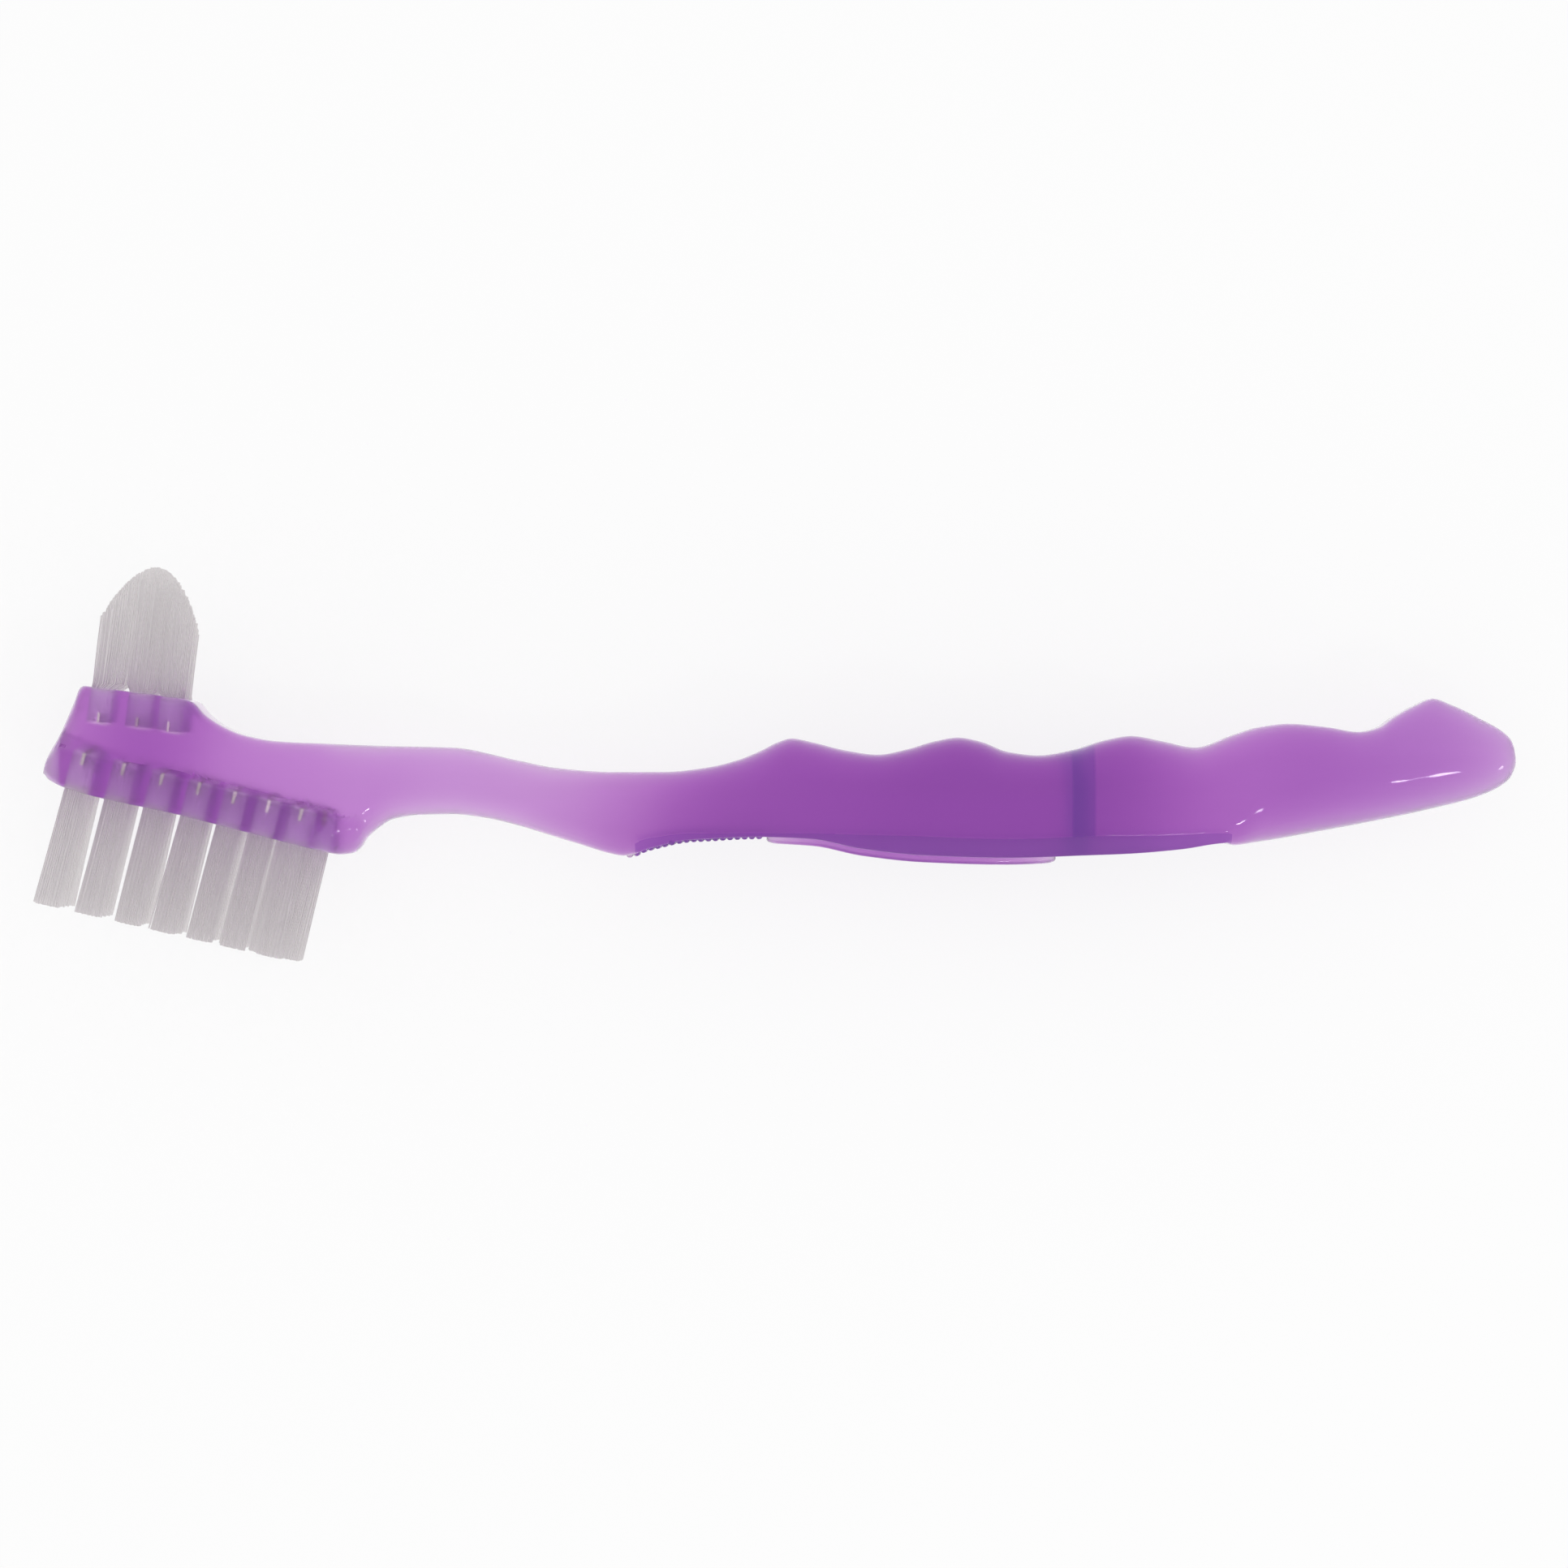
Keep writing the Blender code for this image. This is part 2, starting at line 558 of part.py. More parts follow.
def tuft_holes(seats):
    """All the blind holes as one cutter."""
    builder = bmesh.new()
    for _, foot, run, out, _ in seats:
        side = run.cross(out)
        ring = [run * p.x + side * p.y for p in ring_points(HOLE_DIAMETER / 2, HOLE_SIDES)]
        skin(builder, [[foot + p + out * level for p in ring] for level in (-HOLE_DEPTH, CUT_OVERRUN)])
    return make_object("tuft_holes", builder, guide=True)


def strands(turn):
    """Middle and corners of each strand of a tuft, ring by ring from the rim inwards."""
    rim = (HOLE_DIAMETER / 2 - HOLE_CLEARANCE) * math.cos(math.pi / HOLE_SIDES)
    radius = rim - STRAND_RADIUS - STRAND_GAP / 2
    found = []
    while radius > STRAND_RADIUS:
        each = 2 * math.asin(STRAND_RADIUS / radius) + STRAND_GAP / radius
        for middle in ring_points(radius, int(math.tau / each), turn):
            facing = math.atan2(middle.y, middle.x)
            found.append((middle, [middle + p for p in ring_points(STRAND_RADIUS, STRAND_SIDES, facing)]))
        radius -= STRAND_RADIUS * 3 / 2 + STRAND_GAP
    return found


def tiled(outline, patches):
    """Triangles of a flat outline in which each patch stays a face of its own."""
    corners = list(outline)
    faces = [list(range(len(outline)))]
    for patch in patches:
        faces.append(list(range(len(corners), len(corners) + len(patch))))
        corners += patch
    found = delaunay_2d_cdt(corners, [], faces, 0, WELD_DISTANCE)
    flat, _, triangles, came_verts, _, came_faces = found
    plain = [t for t, origin in zip(triangles, came_faces) if len(origin) == 1]
    now = {old: new for new, origin in enumerate(came_verts) for old in origin}
    return flat, plain, [[now[i] for i in face] for face in faces]


def make_tuft(name, foot, run, out, trim, turn, material):
    """One tuft: its folded root in the hole, the strip below it and its free strands."""
    side = run.cross(out)
    builder = bmesh.new()
    outline = ring_points(HOLE_DIAMETER / 2 - HOLE_CLEARANCE, HOLE_SIDES)
    deep = HOLE_DEPTH - HOLE_CLEARANCE
    levels = {"cap": -PLUG_RECESS, "fold": ANCHOR_HEIGHT - deep}

    def lifted(point, height):
        return builder.verts.new(foot + run * point.x + side * point.y + out * height)

    def cover(level, patches):
        flat, plain, faces = tiled(outline, patches)
        verts = [lifted(p, levels[level]) for p in flat]
        for t in plain:
            builder.faces.new([verts[i] for i in t])
        return [[verts[i] for i in face] for face in faces]

    def raise_patch(low, high):
        for i in range(len(low)):
            j = (i + 1) % len(low)
            builder.faces.new((low[i], low[j], high[j], high[i]))
        builder.faces.new(high)

    feet = strands(turn)
    top, *patches = cover("cap", [corners for _, corners in feet])
    for (middle, corners), patch in zip(feet, patches):
        lean = middle * (TUFT_SPREAD / (HOLE_DIAMETER / 2 - HOLE_CLEARANCE))
        long = trim(middle.x, middle.y)
        raise_patch(patch, [lifted(p + lean, long) for p in corners])
    half_long, half_thick = ANCHOR_LENGTH / 2, ANCHOR_THICKNESS / 2
    strip = [Vector((x * half_thick, y * half_long)) for x, y in ((1, 1), (-1, 1), (-1, -1), (1, -1))]
    low, patch = cover("fold", [strip])
    raise_patch(patch, [lifted(p, -deep) for p in strip])
    for i in range(HOLE_SIDES):
        j = (i + 1) % HOLE_SIDES
        builder.faces.new((low[i], low[j], top[j], top[i]))
    return make_object(name, builder, material)


def finish(name, color, roughness, see_through=0.0):
    material = bpy.data.materials.new(name)
    material.use_nodes = True
    shader = material.node_tree.nodes["Principled BSDF"]
    shader.inputs["Base Color"].default_value = (*color, 1)
    shader.inputs["Roughness"].default_value = roughness
    shader.inputs["Metallic"].default_value = 0
    shader.inputs["Transmission Weight"].default_value = see_through
    return material


def boolean(thing, tool, operation):
    modifier = thing.modifiers.new(tool.name, "BOOLEAN")
    modifier.operation = operation
    modifier.object = tool
    modifier.solver = "EXACT"


def main():
    for thing in list(bpy.data.objects):
        bpy.data.objects.remove(thing)
    plastic = finish("violet_plastic", (0.36, 0.11, 0.50), 0.12, 0.7)
    nylon = finish("white_nylon", (0.72, 0.70, 0.72), 0.35)
    seats = list(wide_seats()) + list(tip_seats())
    moulding = moulding_blank(plastic)
    boolean(moulding, raised_pad(), "UNION")
    boolean(moulding, thumb_studs(), "UNION")
    boolean(moulding, tuft_holes(seats), "DIFFERENCE")
    for i, (name, foot, run, out, trim) in enumerate(seats):
        make_tuft(name, foot, run, out, trim, TUFT_TURN * i, nylon)


main()
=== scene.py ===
# Denture brush of see-through violet plastic, lying on its flank on a white table.
# The camera looks straight down on it. Everything is in metres, in the frame of the solids.
import bisect
import math
import random

import bmesh
import bpy
from mathutils import Matrix, Vector


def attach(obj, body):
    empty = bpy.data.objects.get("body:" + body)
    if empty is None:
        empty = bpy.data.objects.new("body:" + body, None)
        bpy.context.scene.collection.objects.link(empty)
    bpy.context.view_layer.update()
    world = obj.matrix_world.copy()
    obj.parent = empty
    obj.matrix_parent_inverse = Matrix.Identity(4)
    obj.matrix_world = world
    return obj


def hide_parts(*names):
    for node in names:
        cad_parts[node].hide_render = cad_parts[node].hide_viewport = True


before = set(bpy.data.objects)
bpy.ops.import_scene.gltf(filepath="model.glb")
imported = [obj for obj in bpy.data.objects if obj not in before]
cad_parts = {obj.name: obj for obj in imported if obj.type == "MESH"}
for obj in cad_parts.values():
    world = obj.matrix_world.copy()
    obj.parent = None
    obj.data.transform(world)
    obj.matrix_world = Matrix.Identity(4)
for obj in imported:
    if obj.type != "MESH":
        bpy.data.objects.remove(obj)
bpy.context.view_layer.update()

print("frame loaded:", len(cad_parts), "nodes")


sharpAngle = math.radians(35)  # edges sharper than this stay crisp
# The moulding: the solid's sizes, drawn finer, with fuller roundings, a deeper panel bevel
# and a thicker floor under the holes
moulding = {
    "headLength": 0.0351, "headHeight": 0.0138, "headWidth": 0.0158, "towerWidth": 0.0126,
    "noseRise": 0.0025, "faceAngle": math.radians(14.4),
    "plateHeight": 0.00462, "plateEdge": 0.0010, "plateFillet": 0.0010, "spineWidth": 0.0088,
    "neckLength": 0.0332, "neckHeight": 0.0080, "neckWidth": 0.0076, "neckRise": 0.0022,
    "gripLength": 0.0873, "gripHeight": 0.0145, "gripWidth": 0.0180,
    "tailLength": 0.0187, "tailHeight": 0.0131, "tailWidth": 0.0130, "tailRise": 0.0054,
    "headEdge": 0.0008, "neckEdge": 0.0031, "gripTopEdge": 0.0050, "gripLowEdge": 0.0030,
    "tailTopEdge": 0.0034, "tailLowEdge": 0.0055,
    "panelBevel": 0.0023, "panelFillet": 0.0003, "panelBlend": 0.0012,
    "flankCrown": 0.00012, "endRounding": 0.0006,
    "originShare": 0.425,
    "stationStep": 0.0005, "leastStep": 0.00012,
    "cornerSteps": 8, "lowCornerSteps": 5, "flankSteps": 30, "topSteps": 14, "bottomSteps": 20,
    "bevelSteps": 4,
    "arcReach": 0.49,  # the most of a side that one corner's arc takes up
    "legRise": 0.45, "legWidth": 0.62,  # the most of the height and half width that a bevel takes up
    "endDraw": 0.6,  # the most that a section draws in at the two ends
    "bevelShadeRise": 0.97,  # the share of its bevel that the panel's painted shade covers
}
# Outline points as (share of the zone's length, share of its height), nose to tail
headTop = (
    (0.000, 0.063), (0.016, 0.179), (0.049, 0.362), (0.084, 0.574), (0.110, 0.735),
    (0.132, 0.868), (0.150, 0.888), (0.173, 0.895), (0.252, 0.921), (0.332, 0.947),
    (0.412, 0.973), (0.472, 0.993), (0.512, 0.990), (0.556, 0.901), (0.607, 0.845),
    (0.675, 0.814), (0.792, 0.835), (0.949, 0.919),
)
neckTop = ((0.166, 0.518), (0.401, 0.494), (0.637, 0.301), (0.770, 0.193), (0.971, 0.133))
gripTop = (
    (0.061, 0.226), (0.116, 0.259), (0.158, 0.319), (0.191, 0.399), (0.213, 0.465),
    (0.232, 0.498), (0.259, 0.468), (0.306, 0.399), (0.348, 0.365), (0.390, 0.412),
    (0.424, 0.472), (0.457, 0.505), (0.487, 0.472), (0.524, 0.388), (0.565, 0.359),
    (0.613, 0.405), (0.657, 0.485), (0.691, 0.518), (0.734, 0.475), (0.779, 0.425),
    (0.833, 0.532), (0.866, 0.591), (0.905, 0.618), (0.955, 0.591), (1.000, 0.551),
)
tailTop = (
    (0.124, 0.235), (0.216, 0.324), (0.356, 0.434), (0.474, 0.500), (0.582, 0.449),
    (0.799, 0.301), (0.918, 0.199), (0.975, 0.110), (1.000, 0.000),
)
headBottom = ((0.000, 0.030), (0.030, 0.000), (0.500, 0.000), (0.940, 0.000), (1.000, 0.000))
heelBlend = ((0.156, 0.03), (0.260, 0.16), (0.354, 0.44), (0.479, 0.66), (0.677, 0.90))
neckBottom = (
    (0.279, -0.506), (0.401, -0.494), (0.520, -0.550), (0.637, -0.663), (0.747, -0.801),
    (0.858, -0.940), (0.971, -1.078),
)
gripBottom = (
    (0.004, -0.458), (0.022, -0.440), (0.035, -0.405), (0.056, -0.372), (0.073, -0.346),
    (0.094, -0.326), (0.116, -0.319), (0.158, -0.306), (0.188, -0.302), (0.259, -0.319),
    (0.327, -0.399), (0.411, -0.452), (0.524, -0.472), (0.629, -0.452), (0.687, -0.439),
    (0.756, -0.405), (0.823, -0.352), (0.826, -0.372), (0.866, -0.346), (0.944, -0.266),
)
tailBottom = ((0.098, -0.610), (0.459, -0.500), (0.799, -0.368), (0.954, -0.243), (1.000, -0.155))
# Half widths as (share of the zone's length, share of half its width)
headWidths = (
    (0.000, 0.24), (0.012, 0.34), (0.028, 0.48), (0.045, 0.62), (0.062, 0.75), (0.080, 0.86),
    (0.140, 0.95), (0.240, 1.00), (0.920, 1.00), (0.945, 0.86), (0.970, 0.74), (0.990, 0.66),
)
towerWidths = (
    (0.00, 0.30), (0.05, 0.46), (0.09, 0.60), (0.13, 0.77), (0.17, 0.87), (0.26, 0.96),
    (0.34, 1.00), (0.46, 1.00), (0.54, 0.86), (0.66, 0.72), (0.90, 0.66),
)
# The spine stands on the plate that holds the wide brush, and swells into the tower
towerSpine = (
    (0.000, 0.360), (0.050, 0.580), (0.093, 0.760), (0.150, 0.900), (0.203, 0.960),
    (0.290, 1.090), (0.341, 1.110), (0.395, 1.055), (0.504, 0.875),
)
plateSpine = ((0.57, 1.12), (0.67, 1.05), (0.80, 1.00), (1.00, 0.95))
neckSpine = ((0.25, 0.88),)
# The hollow corner where the spine meets the plate, as shares of the plate's fillet
plateFillets = ((0.0, 2.0), (0.34, 0.8), (0.60, 0.35), (1.00, 0.35))
# Half widths of the neck, grip and tail, below and then on top
neckWidths = ((0.10, 1.24), (0.20, 1.11), (0.40, 0.97), (0.62, 0.98), (0.82, 1.12), (0.98, 1.40))
neckTopWidths = ((0.10, 0.98), (0.40, 0.87), (0.62, 0.86), (0.82, 0.94), (0.98, 1.12))
gripWidths = (
    (0.040, 0.71), (0.085, 0.83), (0.150, 0.92), (0.300, 0.96), (0.420, 1.00), (0.630, 1.00),
    (0.680, 0.93), (0.745, 0.80), (0.810, 0.70), (0.860, 0.68), (0.930, 0.71),
)
gripTopWidths = (
    (0.040, 0.54), (0.085, 0.66), (0.150, 0.78), (0.300, 0.92), (0.420, 0.99), (0.630, 1.00),
    (0.680, 0.93), (0.745, 0.79), (0.810, 0.69), (0.860, 0.66), (0.930, 0.66),
)
tailWidths = (
    (0.10, 0.98), (0.30, 0.92), (0.50, 0.85), (0.70, 0.75), (0.88, 0.60), (0.96, 0.45), (1.00, 0.28),
)
tailTopWidths = (
    (0.10, 0.80), (0.30, 0.72), (0.50, 0.68), (0.70, 0.62), (0.88, 0.52), (0.96, 0.42), (1.00, 0.28),
)
# Edge radii as shares of the zone's edge
headTopEdges = ((0.00, 5.0), (0.12, 4.6), (0.155, 1.9), (0.47, 1.6), (0.56, 3.0), (0.80, 4.4))
neckTopEdges = ((0.00, 1.20), (0.45, 1.20), (0.90, 1.00))
headLowEdges = ((0.00, 1.6), (0.07, 1.1), (0.88, 1.1), (0.94, 2.8), (1.00, 4.5))
neckLowEdges = ((0.12, 1.45), (0.25, 1.35), (0.60, 1.15), (0.90, 1.00))
gripTopEdges = ((0.15, 1.0), (0.80, 1.0))
gripLowEdges = ((0.15, 1.0), (0.70, 1.0), (0.825, 1.05), (0.875, 1.9))
tailTopEdges = ((0.0, 1.0), (1.0, 1.0))
tailLowEdges = ((0.0, 1.25), (1.0, 1.25))
# The bevel along the planed panel's long edges, as shares of its size
panelBevels = (
    (0.022, 0.60), (0.094, 0.35), (0.188, 0.20), (0.259, 0.30), (0.327, 0.75), (0.411, 1.00),
    (0.629, 1.00), (0.745, 0.80), (0.823, 0.50),
)

gripStart = -moulding["originShare"] * moulding["gripLength"]
neckStart = gripStart - moulding["neckLength"]
headStart = neckStart - moulding["headLength"]
tailStart = gripStart + moulding["gripLength"]
tailEnd = tailStart + moulding["tailLength"]
middle = moulding["gripWidth"] / 2


def spread(zone, points, size, level=0.0):  # shares of a zone as points (x, level + share of size)
    start = {"head": headStart, "neck": neckStart, "grip": gripStart, "tail": tailStart}[zone]
    return [(start + moulding[zone + "Length"] * a, level + b * size) for a, b in points]


def faceHeight(x):  # the wide brush's face slopes down from the nose
    return moulding["noseRise"] - (x - headStart) * math.tan(moulding["faceAngle"])


def overFace(points):
    return [(x, faceHeight(x) + y) for x, y in spread("head", points, moulding["headHeight"])]


def heelPoints():  # the hollow heel between the wide brush's face and the neck
    x0, y0 = neckStart, faceHeight(neckStart)
    x1, y1 = spread("neck", neckBottom[:1], moulding["neckHeight"], moulding["neckRise"])[0]
    return [(x0 + (x1 - x0) * a, y0 + (y1 - y0) * b) for a, b in heelBlend]


def monotone(points):  # a curve through the points that never overshoots them
    xs, ys = zip(*points)
    last = len(xs) - 1
    rises = [(ys[i + 1] - ys[i]) / (xs[i + 1] - xs[i]) for i in range(last)]
    slopes = [rises[0]]
    for i in range(1, last):
        before, after = rises[i - 1], rises[i]
        left, right = xs[i] - xs[i - 1], xs[i + 1] - xs[i]
        a, b = 2 * right + left, right + 2 * left
        slopes.append(0.0 if before * after <= 0 else (a + b) / (a / before + b / after))
    slopes.append(rises[-1])

    def read(x):
        x = min(max(x, xs[0]), xs[last])
        i = min(bisect.bisect_right(xs, x) - 1, last - 1)
        step = xs[i + 1] - xs[i]
        t = (x - xs[i]) / step
        value = ys[i] * (1 + 2 * t) * (1 - t) ** 2 + ys[i + 1] * t * t * (3 - 2 * t)
        return value + step * t * (1 - t) * (slopes[i] * (1 - t) - slopes[i + 1] * t)

    return read


def outlineCurves():
    neckSize = (moulding["neckHeight"], moulding["neckRise"])
    tailSize = (moulding["tailHeight"], moulding["tailRise"])

    def sides(neck, grip, tail):
        return (spread("neck", neck, moulding["neckWidth"] / 2) + spread("grip", grip, middle)
                + spread("tail", tail, moulding["tailWidth"] / 2))

    def edges(side, head, neck, grip, tail):
        return (spread("head", head, moulding["headEdge"]) + spread("neck", neck, moulding["neckEdge"])
                + spread("grip", grip, moulding["grip" + side])
                + spread("tail", tail, moulding["tail" + side]))

    return {
        "top": monotone(overFace(headTop) + spread("neck", neckTop, *neckSize)
                        + spread("grip", gripTop, moulding["gripHeight"])
                        + spread("tail", tailTop, *tailSize)),
        "bottom": monotone(overFace(headBottom) + heelPoints() + spread("neck", neckBottom, *neckSize)
                           + spread("grip", gripBottom, moulding["gripHeight"])
                           + spread("tail", tailBottom, *tailSize)),
        "low": monotone(spread("head", headWidths, moulding["headWidth"] / 2)
                        + sides(neckWidths, gripWidths, tailWidths)),
        "high": monotone(spread("head", towerWidths, moulding["towerWidth"] / 2)
                         + sides(neckTopWidths, gripTopWidths, tailTopWidths)),
        "spine": monotone(spread("head", towerSpine, moulding["towerWidth"] / 2)
                          + spread("head", plateSpine, moulding["spineWidth"] / 2)
                          + spread("neck", neckSpine, moulding["spineWidth"] / 2)),
        "fillet": monotone(spread("head", plateFillets, moulding["plateFillet"])),
        "topEdge": monotone(edges("TopEdge", headTopEdges, neckTopEdges, gripTopEdges, tailTopEdges)),
        "lowEdge": monotone(edges("LowEdge", headLowEdges, neckLowEdges, gripLowEdges, tailLowEdges)),
        "bevel": monotone(spread("grip", panelBevels, moulding["panelBevel"])),
    }


curves = outlineCurves()
panelStart = spread("grip", panelBevels[:1], 0)[0][0]
panelEnd = spread("grip", panelBevels[-1:], 0)[0][0]
plateEnd = spread("neck", neckSpine, 0)[0][0]


def ramp(value):  # 0 to 1 with soft ends
    value = min(max(value, 0.0), 1.0)
    return value * value * (3 - 2 * value)


def rounded(before, at, after, radius, steps):  # one corner of a section as an arc
    toBefore, toAfter = before - at, after - at
    reach = min(toBefore.length, toAfter.length) * moulding["arcReach"]
    toBefore.normalize()
    toAfter.normalize()
    half = toBefore.angle(toAfter) / 2
    tangent = min(radius / math.tan(half), reach)
    centre = at + (toBefore + toAfter).normalized() * (tangent / math.cos(half))
    spoke = at + toBefore * tangent - centre
    turn = spoke.angle_signed(at + toAfter * tangent - centre)
    return [centre + Matrix.Rotation(-turn * i / steps, 2) @ spoke for i in range(steps + 1)]


def steppedWidth(x, y, low, high, top, lean):  # the plate's half width, and the spine's above it
    fade = ramp((plateEnd - x) / (plateEnd - neckStart))
    over = y - faceHeight(x) - moulding["plateHeight"]
    room = max(top - faceHeight(x) - moulding["plateHeight"], moulding["plateFillet"])
    spine = min(curves["spine"](x), low)
    spine += (high - spine) * max(over / room, 0)
    rounding = min(max(over / moulding["plateEdge"] + 1, 0), 1)
    plate = low - moulding["plateEdge"] * (1 - math.sqrt(1 - rounding * rounding))
    stepped = plate + (spine - plate) * ramp(over / curves["fillet"](x))
    return lean + (stepped - lean) * fade


def section(x):  # points (z from the middle plane, y) round the moulding at x
    m = moulding
    top, bottom, low, high = (curves[name](x) for name in ("top", "bottom", "low", "high"))
    topEdge, edge = curves["topEdge"](x), curves["lowEdge"](x)
    fromEnds = min(x - panelStart, panelEnd - x) / m["panelBlend"]
    panel = ramp(fromEnds + 0.5)  # 1 on the planed panel and 0 away from it
    leg = edge * (2 - math.sqrt(2)) * (1 - panel) + curves["bevel"](x) * panel
    leg = min(leg, (top - bottom) * m["legRise"], low * m["legWidth"])
    lowRadius = edge * (1 - panel) + m["panelFillet"] * panel
    highCorners = [Vector((high, top)), Vector((-high, top))]
    lowCorners = [Vector((-low, bottom)), Vector((low, bottom))]
    up = [(high_ - low_).normalized() * leg for high_, low_ in zip(reversed(highCorners), lowCorners)]
    inwards = Vector((leg, 0))
    corners = [
        (highCorners[0], topEdge, m["cornerSteps"]), (highCorners[1], topEdge, m["cornerSteps"]),
        (lowCorners[0] + up[0], lowRadius, m["lowCornerSteps"]),
        (lowCorners[0] + inwards, lowRadius, m["lowCornerSteps"]),
        (lowCorners[1] - inwards, lowRadius, m["lowCornerSteps"]),
        (lowCorners[1] + up[1], lowRadius, m["lowCornerSteps"]),
    ]
    runs = [m[name + "Steps"] for name in ("top", "flank", "bevel", "bottom", "bevel", "flank")]
    arcs = []
    for i, (at, radius, steps) in enumerate(corners):
        arcs.append(rounded(corners[i - 1][0], at, corners[(i + 1) % 6][0], radius, steps))
    points = []
    for i, arc in enumerate(arcs):
        points += arc
        following = arcs[(i + 1) % 6][0]
        for step in range(1, runs[i]):
            points.append(arc[-1].lerp(following, step / runs[i]))
    tall = top - bottom
    for p in points:  # the flanks are a hair fuller at half height
        if x < plateEnd:
            lean = low + (high - low) * (p.y - bottom) / tall
            p.x *= steppedWidth(x, p.y, low, high, top, lean) / lean
        off = (2 * (p.y - bottom) / tall - 1) ** 2
        p.x -= math.copysign(m["flankCrown"] * off, p.x) * min(abs(p.x) / low, 1)
    return points


def stations():  # x of each section, closer together where the outline is steep
    step, least = moulding["stationStep"], moulding["leastStep"]
    x, found = headStart, [headStart]
    while x < tailEnd - least:
        steep = max(abs(curves[name](x + least) - curves[name](x)) / least for name in ("top", "bottom"))
        x += max(step / math.hypot(1, steep), least)
        found.append(min(x, tailEnd))
    return found


def endInset(x):  # how far a section draws in where the nose and the tail round off
    radius = moulding["endRounding"]
    off = 1 - min(min(x - headStart, tailEnd - x) / radius, 1)
    return radius * (1 - math.sqrt(1 - off * off))


def skin(builder, rings):  # quads from ring to ring, with a flat cap at each end
    loops = [[builder.verts.new(p) for p in ring] for ring in rings]
    for one, other in zip(loops, loops[1:]):
        for i in range(len(one)):
            j = (i + 1) % len(one)
            builder.faces.new((one[i], one[j], other[j], other[i]))
    builder.faces.new(loops[0])
    builder.faces.new(loops[-1])


def meshPiece(name, builder, material=None, sharp=sharpAngle):
    bmesh.ops.recalc_face_normals(builder, faces=builder.faces)
    mesh = bpy.data.meshes.new(name)
    builder.to_mesh(mesh)
    builder.free()
    mesh.shade_smooth()
    mesh.set_sharp_from_angle(angle=sharp)
    piece = bpy.data.objects.new(name, mesh)
    bpy.context.scene.collection.objects.link(piece)
    if material:
        mesh.materials.append(material)
    return piece


def joined(piece, tool, operation):  # cuts or adds a closed tool, then drops the tool
    modifier = piece.modifiers.new(operation.lower(), "BOOLEAN")
    modifier.operation = operation
    modifier.object = tool
    modifier.solver = "MANIFOLD"
    graph = bpy.context.evaluated_depsgraph_get()
    mesh = bpy.data.meshes.new_from_object(piece.evaluated_get(graph))
    old = piece.data
    piece.modifiers.clear()
    piece.data = mesh
    bpy.data.meshes.remove(old)
    bpy.data.objects.remove(tool)
    piece.data.shade_smooth()
    piece.data.set_sharp_from_angle(angle=sharpAngle)


def mouldingBody():
    rings = []
    for x in stations():
        points = section(x)
        inset = endInset(x)
        low, high = min(p.y for p in points), max(p.y for p in points)
        centre = (low + high) / 2
        drawY = 1 - min(inset / (high - centre), moulding["endDraw"])
        drawZ = 1 - min(inset / max(p.x for p in points), moulding["endDraw"])
        rings.append([(x, centre + (p.y - centre) * drawY, middle + p.x * drawZ) for p in points])
    builder = bmesh.new()
    skin(builder, rings)
    return meshPiece("handle_body", builder)


# The oval pad and the studs on the planed panel
pad = {
    "length": 0.0343, "width": 0.0096, "height": 0.00085, "edge": 0.0005, "centreShare": 0.3945,
    "overlap": 0.0012, "endSlant": 2.6, "around": 96, "edgeSteps": 6, "crownRings": 6,
    "bevelShadeRim": 1.01,  # the painted shade on the panel's bevel stops this far out from the pad's middle
}
studs = {
    "length": 0.0160, "width": 0.0126, "centreShare": 0.1005, "diameter": 0.0008, "height": 0.00035,
    "columnPitch": 0.00085, "rowPitch": 0.0017, "around": 10, "levels": 4,
}
padPlace = gripStart + pad["centreShare"] * moulding["gripLength"]


def raisedPad():
    profile = [(0, -pad["overlap"])]  # (inset from the oval's rim, height over the panel)
    for i in range(pad["edgeSteps"] + 1):
        a = math.pi / 2 * i / pad["edgeSteps"]
        profile.append((pad["edge"] * (1 - math.cos(a)), pad["height"] - pad["edge"] * (1 - math.sin(a))))
    for i in range(1, pad["crownRings"]):
        profile.append((pad["width"] / 2 * i / pad["crownRings"], pad["height"]))
    rings = []
    for inset, height in profile:
        ring = []
        for i in range(pad["around"]):
            a = math.tau * i / pad["around"]
            x = padPlace + (pad["length"] / 2 - inset * pad["endSlant"]) * math.cos(a)
            z = middle + (pad["width"] / 2 - inset) * math.sin(a)
            ring.append((x, curves["bottom"](x) - height, z))
        rings.append(ring)
    builder = bmesh.new()
    skin(builder, rings)
    bmesh.ops.triangulate(builder, faces=[f for f in builder.faces if len(f.verts) > 4])
    return meshPiece("pad_tool", builder)


